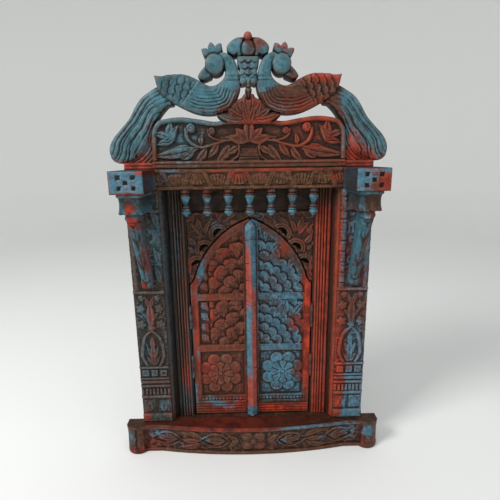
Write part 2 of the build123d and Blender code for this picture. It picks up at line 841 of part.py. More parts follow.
def make_crest_lower():
    joint = crest_bottom + crest_joint
    below = bar(-crest_half_width - overrun, crest_half_width + overrun, crest_bottom, joint)
    tail_out = crest_out - crest_tail_step
    ground = crest_out - crest_ground_step
    tail, mound = tail_face() & below, mound_face() & below
    panel = panel_face()
    foot_top = crest_bottom + crest_foot_height
    foot = bar(-crest_foot_half_length, crest_foot_half_length, crest_bottom, foot_top)
    border = panel - offset(panel, amount=-crest_border)
    slabs = both_sides([prism(tail, crest_back, tail_out)])
    slabs += [
        prism(panel, crest_back, ground), prism(mound, crest_back, crest_out),
        prism(foot, crest_back, tail_out), prism(border, crest_back, tail_out),
    ]
    board = slabs[0]
    for slab in slabs[1:]:
        board += slab
    leaves = []
    for share in spray_shares:
        at = crest_point(share)
        leaves.append(petal(at[0], at[1], spray_angle, spray_length, spray_width))
    bunch = crest_point(bunch_share)
    for angle in bunch_leaf_angles:
        leaves.append(petal(bunch[0], bunch[1], angle, bunch_leaf_length, bunch_leaf_width))
    for share in scroll_shares:
        at = crest_point(share)
        leaves.append(Pos(*at) * (disc(scroll_radius) - disc(scroll_radius / 2)))
    lotus = crest_point(lotus_share)
    leaves.append(petal(lotus[0], lotus[1], -lotus_side_angle, lotus_length, lotus_width))
    carving = both_sides(leaves) + [petal(lotus[0], lotus[1], 0, lotus_length, lotus_width)]
    board += [prism(leaf & panel, ground - overrun, ground + crest_leaf_rise) for leaf in carving]
    grooves = []
    for shares in lower_tail_groove_shares:
        groove = band_along(crest_points(shares), crest_groove)
        grooves.append(prism(groove, tail_out - crest_groove_depth, tail_out + overrun))
    return board - both_sides(grooves)


# Assembly

def main():
    opening = arch_opening()
    levels = (hinge_lower_height, hinge_upper_height)
    right_frame_flaps = [hinge_place(level) * hinge_flap((0, 2), 1) for level in levels]
    right_leaf_flaps = [hinge_place(level) * hinge_flap((1,), -1) for level in levels]
    right_pins = [hinge_place(level) * hinge_pin() for level in levels]
    column, block, jamb = make_column(), make_block(), make_jamb()
    capital, strut = make_capital(), make_strut()
    nodes = {
        "sill": make_sill(),
        "right_column": column,
        "left_column": flipped(column),
        "lintel": make_lintel(),
        "right_corbel_block": block,
        "left_corbel_block": flipped(block),
        "right_capital": capital,
        "left_capital": flipped(capital),
        "right_strut": strut,
        "left_strut": flipped(strut),
        "right_jamb": jamb,
        "left_jamb": flipped(jamb),
        "header_board": make_header(),
        "arch_panel": make_arch_panel(opening),
        "pendants": make_pendants(),
        "right_leaf": make_leaf(opening, scale_row, scale_rows, scale_width),
        "left_leaf": flipped(make_leaf(opening, lobe_row, lobe_rows, lobe_width)),
        "cover_strip": make_strip(),
        "right_hinge_frame_flaps": right_frame_flaps,
        "left_hinge_frame_flaps": [flipped(flap) for flap in right_frame_flaps],
        "right_hinge_leaf_flaps": right_leaf_flaps,
        "left_hinge_leaf_flaps": [flipped(flap) for flap in right_leaf_flaps],
        "right_hinge_pins": right_pins,
        "left_hinge_pins": [flipped(pin) for pin in right_pins],
        "crest_upper_board": make_crest_upper(),
        "crest_lower_board": make_crest_lower(),
    }
    os.makedirs("parts", exist_ok=True)
    for name, shape in nodes.items():
        solids = shape if isinstance(shape, list) else [shape]
        placed = [wall * solid for solid in solids]
        node = placed[0] if len(placed) == 1 else Compound(children=placed)
        node.label = name
        export_step(node, os.path.join("parts", name + ".step"))


main()
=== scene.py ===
from math import atan2, cos, hypot, pi, radians, sin
import bpy
import numpy as np
from mathutils import Matrix, Vector


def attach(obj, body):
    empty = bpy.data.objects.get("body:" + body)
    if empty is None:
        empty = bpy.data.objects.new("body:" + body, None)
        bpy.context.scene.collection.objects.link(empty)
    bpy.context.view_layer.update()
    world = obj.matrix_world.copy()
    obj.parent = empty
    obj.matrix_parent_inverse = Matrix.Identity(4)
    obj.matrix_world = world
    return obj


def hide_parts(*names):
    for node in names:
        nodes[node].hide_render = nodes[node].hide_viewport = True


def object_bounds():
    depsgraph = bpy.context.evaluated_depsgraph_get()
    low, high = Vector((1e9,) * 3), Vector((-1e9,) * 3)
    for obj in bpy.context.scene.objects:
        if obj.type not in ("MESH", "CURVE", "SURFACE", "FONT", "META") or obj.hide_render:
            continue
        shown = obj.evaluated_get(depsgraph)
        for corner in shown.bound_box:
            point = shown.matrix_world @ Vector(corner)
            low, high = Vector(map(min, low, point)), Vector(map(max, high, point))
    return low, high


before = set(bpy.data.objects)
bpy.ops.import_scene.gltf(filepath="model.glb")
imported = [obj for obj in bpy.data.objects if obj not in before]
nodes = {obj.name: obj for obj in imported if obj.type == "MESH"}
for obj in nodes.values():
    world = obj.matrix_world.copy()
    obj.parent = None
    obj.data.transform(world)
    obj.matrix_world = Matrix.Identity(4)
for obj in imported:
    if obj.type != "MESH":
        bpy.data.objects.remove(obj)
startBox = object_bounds()

# Carving is drawn in millimetres on the face: across to the right, up from the floor, out from the wall.
wallPlane = startBox[1].y * 1000

# Lines that several pieces share, in millimetres
openingHalf = 136.4  # from the middle to the leaves' outer edge
columnInner, columnMiddle, columnOuter = 186, 220, 254
blockInner, blockOuter = 189, 251
sillTop, springLevel, archTop, lintelFoot, lintelTop = 70, 397, 556, 605, 646
bothSides = ((-1, "left"), (1, "right"))


def sideBox(side, inner, outer, bottom, top):
    return (inner, outer, bottom, top) if side > 0 else (-outer, -inner, bottom, top)


# Numbers on a grid

def smoothStep(low, high, value):
    share = np.clip((value - low) / (high - low), 0, 1)
    return share * share * (3 - 2 * share)


def hashNoise(x, z, size, seed):
    # soft value noise of the given lump size, from -1 to 1
    gx, gz = x / size + 31.7 * seed, z / size - 17.3 * seed
    ix, iz = np.floor(gx), np.floor(gz)
    fx, fz = gx - ix, gz - iz
    fx, fz = fx * fx * (3 - 2 * fx), fz * fz * (3 - 2 * fz)

    def corner(a, b):
        wave = np.sin(a * 127.1 + b * 311.7 + seed * 74.7) * 43758.5453
        return (wave - np.floor(wave)) * 2 - 1

    low = corner(ix, iz) * (1 - fx) + corner(ix + 1, iz) * fx
    high = corner(ix, iz + 1) * (1 - fx) + corner(ix + 1, iz + 1) * fx
    return low * (1 - fz) + high * fz


def blurred(field, cells):
    # three box blurs, near enough to a soft round one
    for axis in (0, 1):
        for _ in range(3):
            pad = [(0, 0), (0, 0)]
            pad[axis] = (cells + 1, cells)
            run = np.cumsum(np.pad(field, pad, mode="edge"), axis=axis)
            width = 2 * cells + 1
            ahead = np.take(run, range(width, run.shape[axis]), axis=axis)
            behind = np.take(run, range(0, run.shape[axis] - width), axis=axis)
            field = (ahead - behind) / width
    return field


def curveThrough(points, count=10, closed=False):
    p = np.array(points, float)
    if closed:
        p = np.vstack([p[-1:], p, p[:2]])
    else:
        p = np.vstack([2 * p[:1] - p[1:2], p, 2 * p[-1:] - p[-2:-1]])
    s = np.linspace(0, 1, count, endpoint=False)[:, None]
    runs = []
    for a, b, c, d in zip(p, p[1:], p[2:], p[3:]):
        runs.append(((2 * b) + (c - a) * s + (2 * a - 5 * b + 4 * c - d) * s ** 2
                     + (3 * b - a - 3 * c + d) * s ** 3) / 2)
    if not closed:
        runs.append(p[-2:-1])
    return np.vstack(runs)


def arcThrough(a, b, c, count=24):
    ax, az, bx, bz, cx, cz = *a, *b, *c
    d = 2 * (ax * (bz - cz) + bx * (cz - az) + cx * (az - bz))
    sa, sb, sc = ax * ax + az * az, bx * bx + bz * bz, cx * cx + cz * cz
    mx = (sa * (bz - cz) + sb * (cz - az) + sc * (az - bz)) / d
    mz = (sa * (cx - bx) + sb * (ax - cx) + sc * (bx - ax)) / d
    r = hypot(ax - mx, az - mz)
    start, end = atan2(az - mz, ax - mx), atan2(cz - mz, cx - mx)
    through = atan2(bz - mz, bx - mx)
    turn = (end - start) % (2 * pi)
    if (through - start) % (2 * pi) > turn:
        turn -= 2 * pi
    angles = start + turn * np.linspace(0, 1, count)
    return np.column_stack([mx + r * np.cos(angles), mz + r * np.sin(angles)])


def mirrored(points):
    return [(-px, pz) for px, pz in reversed([tuple(p) for p in points])]


def shapeDistance(points, x, z):
    # distance to a closed outline, negative inside it
    near = np.full(x.shape, 1e12)
    inside = np.zeros(x.shape, bool)
    p = np.array(points, float)
    for (ax, az), (bx, bz) in zip(p, np.roll(p, -1, axis=0)):
        ex, ez = bx - ax, bz - az
        share = np.clip(((x - ax) * ex + (z - az) * ez) / max(ex * ex + ez * ez, 1e-9), 0, 1)
        near = np.minimum(near, (x - ax - share * ex) ** 2 + (z - az - share * ez) ** 2)
        if az != bz:
            inside ^= ((az > z) != (bz > z)) & (x < (z - az) * ex / ez + ax)
    return np.where(inside, -1, 1) * np.sqrt(near)


def lineDistance(points, x, z):
    # distance to an open line, and the share of its length at the nearest place
    p = np.array(points, float)
    lengths = np.hypot(*(p[1:] - p[:-1]).T)
    total, done = lengths.sum(), 0.0
    near, place = np.full(x.shape, 1e12), np.zeros(x.shape)
    for (ax, az), (bx, bz), length in zip(p, p[1:], lengths):
        ex, ez = bx - ax, bz - az
        share = np.clip(((x - ax) * ex + (z - az) * ez) / max(length * length, 1e-9), 0, 1)
        away = (x - ax - share * ex) ** 2 + (z - az - share * ez) ** 2
        place = np.where(away < near, (done + share * length) / total, place)
        near = np.minimum(near, away)
        done += length
    return np.sqrt(near), place


# Cuts and raised shapes, as shares from 0 to 1

def bead(distance, half):
    return np.sqrt(np.clip(1 - (distance / half) ** 2, 0, 1))


def cut(distance, half):
    return np.clip(1 - np.abs(distance) / half, 0, 1)


def roundOff(edge, radius):
    near = np.clip(1 + edge / radius, 0, 1)
    return 1 - np.sqrt(1 - near ** 2)


def leaf(x, z, root, tip, width, bend=0.0, belly=0.45, vein=0.35):
    # a pointed leaf with raised edges and a cut vein, from its root to its tip
    length = hypot(tip[0] - root[0], tip[1] - root[1])
    ux, uz = (tip[0] - root[0]) / length, (tip[1] - root[1]) / length
    along = ((x - root[0]) * ux + (z - root[1]) * uz) / length
    aside = (x - root[0]) * uz - (z - root[1]) * ux - bend * np.sin(np.clip(along, 0, 1) * pi)
    power = np.log(0.5) / np.log(belly)
    half = width / 2 * np.sin(pi * np.clip(along, 1e-6, 1) ** power)
    share = np.abs(aside) / np.maximum(half, 1e-6)
    inside = (along > 0) & (along < 1) & (share < 1)
    body = np.sqrt(np.clip(1 - share ** 4, 0, 1)) * (0.72 + 0.28 * share ** 2)
    return np.where(inside, np.maximum(body - vein * cut(aside, 1.5), 0.02), 0)


def scaleRows(depth, spreadOf, rows, lobe=0.45, swell=0.06):
    # overlapping rows of round-tipped scales; depth counts rows, spreadOf gives the place along a row,
    # and the height rises to each tip and steps down past it
    height = np.full(depth.shape, 0.4)
    done = np.zeros(depth.shape, bool)
    inner = np.full(depth.shape, -0.4)
    for number in range(1, rows + 1):
        spread = spreadOf(number)
        aside = 2 * (spread - np.floor(spread)) - 1
        tip = number - lobe * (1 - np.sqrt(1 - 0.97 * aside ** 2))
        share = np.clip((depth - inner) / np.maximum(tip - inner, 0.25), 0, 1)
        here = ~done & (depth < tip)
        height = np.where(here, 0.36 + 0.6 * share ** 0.8 - swell * aside ** 2, height)
        done |= here
        inner = tip
    return height


def spots(x, z, base, places):
    # a soft sum of listed patches: across, up, half width, half height, amount
    total = np.full(x.shape, float(base))
    for cx, cz, rx, rz, amount in places:
        total += amount * np.exp(-((x - cx) / rx) ** 2 - ((z - cz) / rz) ** 2)
    return np.clip(total, -1, 2)


# Meshes

def toFrame(across, up, out):
    return np.column_stack([np.ravel(across), wallPlane - np.ravel(out), np.ravel(up)]) / 1000


def makeObject(name, verts, faces, cavity, paint, look, body, stoodFor):
    mesh = bpy.data.meshes.new(name)
    mesh.from_pydata(verts.tolist(), [], faces)
    mesh.polygons.foreach_set("use_smooth", [True] * len(mesh.polygons))
    mesh.set_sharp_from_angle(angle=radians(look.get("sharp", 52)))
    mesh.attributes.new("cavity", "FLOAT", "POINT").data.foreach_set("value", cavity.astype(np.float32))
    full = np.column_stack([paint, np.ones(len(paint))]).astype(np.float32)
    mesh.attributes.new("paint", "FLOAT_COLOR", "POINT").data.foreach_set("color", full.ravel())
    mesh.materials.append(look["material"])
    made = bpy.data.objects.new(name, mesh)
    bpy.context.scene.collection.objects.link(made)
    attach(made, body)
    if stoodFor:
        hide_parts(*stoodFor)
    return made


def paintOf(look, x, z):
    return np.column_stack([
        spots(x, z, look["blue"], look.get("blueSpots", [])),
        spots(x, z, look["red"], look.get("redSpots", [])),
        # third channel: pale dust and painted highlight
        spots(x, z, look.get("pale", 0), look.get("paleSpots", [])),
    ])


def carve(name, box, step, surface, look, outline=None, back=0.0, body="frame", stoodFor=()):
    # a board with a carved front: surface gives its face, outline its edge where that isn't the box
    left, right, bottom, top = box
    across = np.linspace(left, right, max(3, round((right - left) / step) + 1))
    up = np.linspace(bottom, top, max(3, round((top - bottom) / step) + 1))
    x, z = np.meshgrid(across, up)
    if outline is None:
        edge = np.maximum(np.maximum(left - x, x - right), np.maximum(bottom - z, z - top))
        cells = np.ones((len(up) - 1, len(across) - 1), bool)
    else:
        edge = outline(x, z)
        slopeZ, slopeX = np.gradient(edge, up, across)
        steep = np.maximum(slopeX ** 2 + slopeZ ** 2, 0.05)
        snap = (edge > -0.45 * step) & (edge < 2 * step)
        core = edge <= -0.45 * step
        x = np.where(snap, x - edge * slopeX / steep, x)
        z = np.where(snap, z - edge * slopeZ / steep, z)
        edge = np.where(snap, 0, edge)
        cells = core[:-1, :-1] | core[1:, :-1] | core[:-1, 1:] | core[1:, 1:]
    out = surface(x, z, edge)
    # cavity counts up on places raised above their neighbours and down in the cuts and the sunk ground; the
    # material darkens the low places with dirt and painted shade and lightens the high ones with rubbing and
    # a painted highlight
    spread = max(1, round(look.get("cavitySize", 3.2) / step))
    cavity = np.clip((out - blurred(out, spread)) / look.get("cavityDepth", 1.3), -1, 1)
    ground = out - blurred(out, max(2, round(look.get("groundSize", 8) / step)))
    groundShare = look.get("groundShare", 0.34) / look.get("cavityDepth", 1.3)
    cavity = np.clip(cavity + np.clip(ground * groundShare, -0.6, 0.15), -1, 1)
    used = np.zeros(x.shape, bool)
    used[:-1, :-1] |= cells
    used[1:, :-1] |= cells
    used[:-1, 1:] |= cells
    used[1:, 1:] |= cells
    index = np.full(x.shape, -1)
    index[used] = np.arange(used.sum())
    a, b, c, d = index[:-1, :-1], index[:-1, 1:], index[1:, 1:], index[1:, :-1]
    faces = [tuple(f) for f in np.column_stack([a[cells], b[cells], c[cells], d[cells]]).tolist()]
    ring = np.pad(cells, 1)
    sides = [
        (a, b, ~ring[:-2, 1:-1]), (b, c, ~ring[1:-1, 2:]),
        (c, d, ~ring[2:, 1:-1]), (d, a, ~ring[1:-1, :-2]),
    ]
    rim = [(int(p), int(q)) for first, second, bare in sides
           for p, q in zip(first[cells & bare], second[cells & bare])]
    front = toFrame(x[used], z[used], out[used])
    rimVerts = sorted({v for pair in rim for v in pair})
    backOf = {v: len(front) + number for number, v in enumerate(rimVerts)}
    flatX, flatZ, flatCavity = x[used], z[used], cavity[used]
    pick = np.array(rimVerts)
    verts = np.vstack([front, toFrame(flatX[pick], flatZ[pick], np.full(len(pick), back))])
    faces += [(q, p, backOf[p], backOf[q]) for p, q in rim]
    extra, extraFaces = [], []
    for j in range(cells.shape[0]):
        line = np.flatnonzero(np.diff(np.concatenate([[0], cells[j].astype(int), [0]])))
        for i0, i1 in zip(line[::2], line[1::2]):
            base = len(verts) + len(extra)
            extra += [(x[r, c], z[r, c]) for r, c in ((j, i0), (j + 1, i0), (j + 1, i1), (j, i1))]
            extraFaces.append((base, base + 1, base + 2, base + 3))
    extra = np.array(extra)
    verts = np.vstack([verts, toFrame(extra[:, 0], extra[:, 1], np.full(len(extra), back))])
    faces += extraFaces
    allX = np.concatenate([flatX, flatX[pick], extra[:, 0]])
    allZ = np.concatenate([flatZ, flatZ[pick], extra[:, 1]])
    allCavity = np.concatenate([flatCavity, np.zeros(len(pick)), np.zeros(len(extra))])
    paint = paintOf(look, allX, allZ)
    bareFrom = len(allX) - len(extra) if look.get("paintedSides") else len(front)
    paint[bareFrom:] = (-1, -1, 0)  # sides and back are bare wood
    made = makeObject(name, verts, faces, allCavity, paint, look, body, stoodFor)
    print("carved", name, len(faces))
    return made


def sweepGrid(name, across, up, out, look, closedRows, cavity, stoodFor=()):
    # a skin through a grid of points with capped ends; either its rows or its columns close on themselves
    rows, columns = across.shape
    index = np.arange(rows * columns).reshape(rows, columns)
    following = np.roll(index, -1, axis=1) if closedRows else index[:, 1:]
    start = index if closedRows else index[:, :-1]
    quads = np.stack([start[:-1], following[:-1], following[1:], start[1:]], axis=-1).reshape(-1, 4)
    faces = [tuple(f) for f in quads.tolist()]
    first, last = (index[0][::-1], index[-1]) if closedRows else (index[:-1, 0], index[:-1, -1][::-1])
    faces += [tuple(first.tolist()), tuple(last.tolist())]
    verts = toFrame(across, up, out)
    paint = paintOf(look, np.ravel(across), np.ravel(up))
    paint[np.ravel(out) < look.get("bareBehind", 0)] = (-1, -1, 0)
    made = makeObject(name, verts, faces, np.ravel(cavity), paint, look, "frame", stoodFor)
    print("skinned", name, len(faces))
    return made


# Materials

def linearColour(code):
    parts = [int(code[i:i + 2], 16) / 255 for i in (1, 3, 5)]
    return [p / 12.92 if p <= 0.04045 else ((p + 0.055) / 1.055) ** 2.4 for p in parts] + [1.0]


def addNode(tree, kind, values=None, links=None, **settings):
    made = tree.nodes.new(kind)
    for key, value in settings.items():
        setattr(made, key, value)
    for key, value in (values or {}).items():
        made.inputs[key].default_value = value
    for key, socket in (links or {}).items():
        tree.links.new(socket, made.inputs[key])
    return made


# Old hardwood under two thin coats of distemper paint, rubbed back on the high places and waxed: red under
# blue, brown wood where both are gone, dirt and painted shade darkening the cuts, and the high places
# lightened by rubbing and a painted highlight.
def paintedTimber(name, grain="up", blueDark="#315566", blueLight="#508296", redDark="#6b2013",
                  redLight="#b03a22",
                  woodDark="#2a1b12", woodLight="#61402d", grimeAndShade=0.72, rubAndHighlight=0.25, wear=0.95):
    made = bpy.data.materials.new(name)
    made.use_nodes = True
    tree = made.node_tree
    tree.nodes.clear()
    place = addNode(tree, "ShaderNodeTexCoord").outputs["Object"]
    stretch = (0.1, 1.0, 1.0) if grain == "across" else (1.0, 1.0, 0.1)
    grainPlace = addNode(tree, "ShaderNodeMapping", {"Scale": stretch}, {"Vector": place}).outputs[0]

    def noise(sizeMm, detail, socket=place, rough=0.6):
        values = {"Scale": 1000 / sizeMm, "Detail": detail, "Roughness": rough}
        return addNode(tree, "ShaderNodeTexNoise", values, {"Vector": socket}).outputs[0]

    def sums(first, second, operation="ADD"):
        links = {i: s for i, s in enumerate((first, second)) if not isinstance(s, (int, float))}
        values = {i: s for i, s in enumerate((first, second)) if isinstance(s, (int, float))}
        return addNode(tree, "ShaderNodeMath", values, links, operation=operation).outputs[0]

    def weighed(socket, middle, amount):
        return sums(sums(socket, middle, "SUBTRACT"), amount, "MULTIPLY")

    def ramp(socket, low, high, top=1.0):
        values = {"From Min": low, "From Max": high, "To Min": 0.0, "To Max": top}
        return addNode(tree, "ShaderNodeMapRange", values, {"Value": socket},
                       interpolation_type="SMOOTHSTEP").outputs[0]

    def blend(factor, first, second):
        links = {k: s for k, s in ((0, factor), (6, first), (7, second)) if not isinstance(s, (str, float))}
        values = {k: linearColour(s) for k, s in ((6, first), (7, second)) if isinstance(s, str)}
        return addNode(tree, "ShaderNodeMix", values, links, data_type="RGBA").outputs[2]

    cavity = addNode(tree, "ShaderNodeAttribute", attribute_name="cavity").outputs["Fac"]
    paint = addNode(tree, "ShaderNodeAttribute", attribute_name="paint").outputs["Color"]
    coats = addNode(tree, "ShaderNodeSeparateColor", None, {"Color": paint}).outputs
    blotch, patch = noise(42, 3), noise(21, 4)
    flake, crumb, speck = noise(9, 7, rough=0.74), noise(4, 5, rough=0.72), noise(1.8, 3)
    fibre = noise(3, 5, grainPlace)

    raised = sums(cavity, 0.2, "MULTIPLY")
    breaks = sums(weighed(flake, 0.5, wear), weighed(fibre, 0.5, wear * 0.6))
    breaks = sums(breaks, weighed(crumb, 0.5, wear * 0.6))
    blueScore = sums(sums(sums(coats[0], weighed(blotch, 0.5, 0.9)), breaks), raised)
    redScore = sums(sums(sums(coats[1], weighed(patch, 0.5, -0.9)), breaks, "SUBTRACT"), raised)
    wood = blend(ramp(sums(fibre, flake, "MULTIPLY"), 0.14, 0.4), woodDark, woodLight)
    wood = blend(ramp(sums(coats[1], weighed(crumb, 0.5, 0.8)), 0.0, 0.85, 0.5), wood, redDark)
    wood = blend(ramp(sums(coats[0], weighed(flake, 0.5, 0.8)), 0.0, 0.85, 0.55), wood, blueDark)
    red = blend(ramp(patch, 0.35, 0.68), redDark, redLight)
    blue = blend(ramp(sums(flake, weighed(blotch, 0.5, -0.6)), 0.24, 0.76), blueDark, blueLight)
    colour = blend(ramp(redScore, 0.34, 0.74), wood, red)
    colour = blend(ramp(blueScore, 0.36, 0.72), colour, blue)
    # pale coat on the pale spots: partly dust, partly painted highlight where light catches the carving
    dustAndHighlight = sums(ramp(sums(coats[2], weighed(flake, 0.5, 0.8)), 0.35, 0.75), 0.75, "MULTIPLY")
    colour = blend(dustAndHighlight, colour, "#9a8a86")
    # the high places are lightened towards pale bare wood: partly rubbed wear, partly painted highlight
    rubbedAndLit = ramp(sums(cavity, weighed(speck, 0.5, 1.4)), 0.25, 0.85, rubAndHighlight)
    colour = blend(rubbedAndLit, colour, "#855c46")
    mottle = addNode(
        tree, "ShaderNodeMapRange", {"From Min": 0.3, "From Max": 0.7, "To Min": 0.84, "To Max": 1.14},
        {"Value": flake})
    colour = addNode(
        tree, "ShaderNodeHueSaturation", None, {"Value": mottle.outputs[0], "Color": colour}).outputs[0]
    # dirt and painted shade: the cuts and the sunk ground go towards near black, more where the cavity sinks
    # lower
    hollowDirtAndShade = ramp(sums(sums(cavity, -1.0, "MULTIPLY"), weighed(patch, 0.5, 0.5)), 0.1, 0.62, grimeAndShade)
    colour = blend(hollowDirtAndShade, colour, "#20150f")
    relief = sums(sums(sums(flake, 0.6, "MULTIPLY"), sums(speck, 0.35, "MULTIPLY")),
                  sums(fibre, 0.5, "MULTIPLY"))
    bump = addNode(tree, "ShaderNodeBump", {"Strength": 0.55, "Distance": 0.001},
                   {"Height": relief}).outputs[0]
    rough = addNode(tree, "ShaderNodeMapRange", {"To Min": 0.34, "To Max": 0.72}, {"Value": flake}).outputs[0]
    surface = addNode(
        tree, "ShaderNodeBsdfPrincipled", {"Specular IOR Level": 0.25},
        {"Base Color": colour, "Roughness": rough, "Normal": bump})
    addNode(tree, "ShaderNodeOutputMaterial", None, {"Surface": surface.outputs[0]})
    return made


# Wrought iron of the hinges: dark scale with rust bloom under the frame's old paint
def rustedIron(name, coat):
    made = bpy.data.materials.new(name)
    made.use_nodes = True
    tree = made.node_tree
    tree.nodes.clear()
    place = addNode(tree, "ShaderNodeTexCoord").outputs["Object"]
    bloom = addNode(tree, "ShaderNodeTexNoise", {"Scale": 1000 / 6, "Detail": 5},
                    {"Vector": place}).outputs[0]
    chips = addNode(tree, "ShaderNodeTexNoise", {"Scale": 1000 / 11, "Detail": 4},
                    {"Vector": place}).outputs[0]
    rust = addNode(tree, "ShaderNodeMapRange", {"From Min": 0.4, "From Max": 0.68},
                   {"Value": bloom}).outputs[0]
    kept = addNode(tree, "ShaderNodeMapRange", {"From Min": 0.46, "From Max": 0.56},
                   {"Value": chips}).outputs[0]
    bare = addNode(
        tree, "ShaderNodeMix", {6: linearColour("#15120f"), 7: linearColour("#4a2a1b")}, {0: rust},
        data_type="RGBA").outputs[2]
    colour = addNode(
        tree, "ShaderNodeMix", {7: linearColour(coat)}, {0: kept, 6: bare}, data_type="RGBA").outputs[2]
    bump = addNode(tree, "ShaderNodeBump", {"Strength": 0.3, "Distance": 0.0004},
                   {"Height": chips}).outputs[0]
    surface = addNode(
        tree, "ShaderNodeBsdfPrincipled", {"Roughness": 0.66}, {"Base Color": colour, "Normal": bump})
    addNode(tree, "ShaderNodeOutputMaterial", None, {"Surface": surface.outputs[0]})
    return made


# Crest: peacocks, tails, finial, mound and panel from two glued boards

crestLook = {
    "slot": "blue_timber",
    "material": paintedTimber("crestPaint", "across", blueDark="#2c5058", blueLight="#4d7e8b", grimeAndShade=0.78),
    "blue": 0.02, "red": 0.18, "cavitySize": 3.0, "cavityDepth": 1.5, "groundShare": 0.2,
    "blueSpots": [
        (-150, 800, 75, 40, 0.85), (-90, 790, 60, 50, 0.7), (-40, 830, 35, 40, 0.75),
        (-230, 740, 45, 60, 0.85), (-260, 690, 30, 35, 0.65), (40, 840, 35, 32, 0.85),
        (70, 840, 22, 25, 0.6), (30, 805, 20, 22, 0.6), (235, 745, 40, 55, 0.8), (262, 690, 26, 30, 0.6),
        (-150, 700, 60, 45, 0.42), (-150, 744, 60, 8, 0.5), (-90, 738, 50, 8, 0.5), (-22, 870, 16, 16, 0.7),
        (12, 842, 10, 10, 0.3), (-60, 868, 24, 16, 0.6), (190, 690, 12, 30, 0.4), (60, 760, 26, 12, 0.4),
        (-190, 690, 10, 40, -0.4), (-12, 815, 9, 9, 0.5), (-220, 652, 30, 8, -0.6), (12, 812, 9, 9, 0.4),
        (204, 776, 28, 24, 0.8), (-120, 690, 40, 40, 0.2),
    ],
    "redSpots": [
        (150, 815, 40, 12, 0.55), (110, 765, 60, 25, 0.2), (120, 705, 70, 45, 0.36), (90, 738, 60, 8, 0.5),
        (-215, 690, 14, 40, 0.6), (225, 660, 30, 18, 0.8), (0, 892, 12, 10, 0.9), (0, 725, 40, 30, 0.25),
        (240, 690, 20, 30, 0.4), (70, 872, 22, 12, 0.5), (-262, 660, 20, 12, 0.6), (24, 868, 14, 14, 0.3),
        (-225, 652, 30, 8, 0.5), (205, 700, 10, 36, 0.5), (0, 770, 40, 18, 0.2), (-198, 740, 10, 26, 0.4),
    ],
    "paleSpots": [(-200, 700, 12, 40, 0.3), (140, 790, 30, 16, 0.42), (30, 866, 10, 10, 0.25)],
}
peacockOuter = [
    (63, 857), (44.6, 858.7), (29.4, 849.8), (21.3, 835.7), (16.6, 814.2), (16.6, 794.2), (31.3, 763.8),
    (51, 752.7), (80.3, 748.8), (109.7, 754.2), (147.9, 772.5), (170.4, 791.7), (178.7, 819.9),
]
peacockInner = [
    (178.7, 819.9), (165, 819), (149.6, 821.4), (121.9, 821.4), (99.4, 813.2), (76.7, 801.1), (61.2, 802.4),
    (47.4, 813), (43.5, 825.3), (46.8, 837.7),
]
tailLine = [
    (159.3, 804.1), (197.5, 787.8), (216.3, 769.7), (232.1, 744.1), (249.3, 725.3), (267, 706.5),
    (276.5, 685.5), (271.5, 664.5), (250.7, 657.9), (222, 669), (202, 690), (193.6, 716), (178, 745),
    (160, 765), (147.9, 770.7),
]
finialLine = [
    (0, 893), (7, 890), (8.6, 885), (18, 884.4), (31, 878), (39.6, 868.3), (37.5, 859), (28, 854.5),
    (20, 856.5), (20.8, 848), (20, 838), (17.2, 830), (17.2, 812), (14, 803), (6, 804), (4, 799),
    (6.5, 793), (3.5, 787), (4, 775),
]
panelLine = [
    (192, 659), (191.5, 690), (189.5, 718), (180, 735), (166.2, 741), (133.8, 744.6), (99.7, 740.8),
    (66.5, 735.5), (47.4, 739),
]
moundLine = [
    (40, 730), (62, 745), (52, 752.5), (40, 752), (46, 763), (33, 765), (23.3, 774), (13, 779), (9, 785),
    (0, 787),
]
beakLine = [(74, 838), (86, 831), (95.8, 817), (88, 811.5), (77, 815), (70, 820)]
crownRoot, crownTips, crownWidth = (65, 850), ((87, 865), (70, 877), (50, 875.5)), 15
headSpot, headRadius = (63.5, 838), 17.5


def petalDistance(x, z, root, tip, width):
    # a petal pointed at both ends, where two discs overlap
    length = hypot(tip[0] - root[0], tip[1] - root[1])
    radius = (length ** 2 + width ** 2) / (4 * width)
    shift = (radius - width / 2) / length
    sideX, sideZ = (tip[1] - root[1]) * shift, (root[0] - tip[0]) * shift
    mx, mz = (root[0] + tip[0]) / 2, (root[1] + tip[1]) / 2
    oneDisc, otherDisc = np.hypot(x - mx - sideX, z - mz - sideZ), np.hypot(x - mx + sideX, z - mz + sideZ)
    return np.maximum(oneDisc, otherDisc) - radius


def crestParts(x, z):
    ax = np.abs(x)
    outer, inner = curveThrough(peacockOuter), curveThrough(peacockInner)
    parts = {
        "peacock": shapeDistance(np.vstack([outer, inner]), ax, z),
        "tail": shapeDistance(curveThrough(tailLine, 6, True), ax, z),
        "beak": shapeDistance(curveThrough(beakLine, 6, True), ax, z),
        "head": np.hypot(ax - headSpot[0], z - headSpot[1]) - headRadius,
        "crown": np.minimum.reduce([petalDistance(ax, z, crownRoot, tip, crownWidth) for tip in crownTips]),
    }
    right = curveThrough(finialLine, 6)
    parts["finial"] = shapeDistance(np.vstack([right, mirrored(right)]), x, z)
    right = curveThrough(moundLine, 6)
    parts["mound"] = shapeDistance(np.vstack([right, mirrored(right)]), x, z)
    right = np.vstack([[(192, 646)], curveThrough(panelLine, 6)])
    parts["panel"] = shapeDistance(np.vstack([right, mirrored(right)]), x, z)
    parts["foot"] = np.maximum(ax - 250, np.maximum(646 - z, z - 659))
    return parts


def crestEdge(x, z):
    return np.minimum.reduce(list(crestParts(x, z).values()))


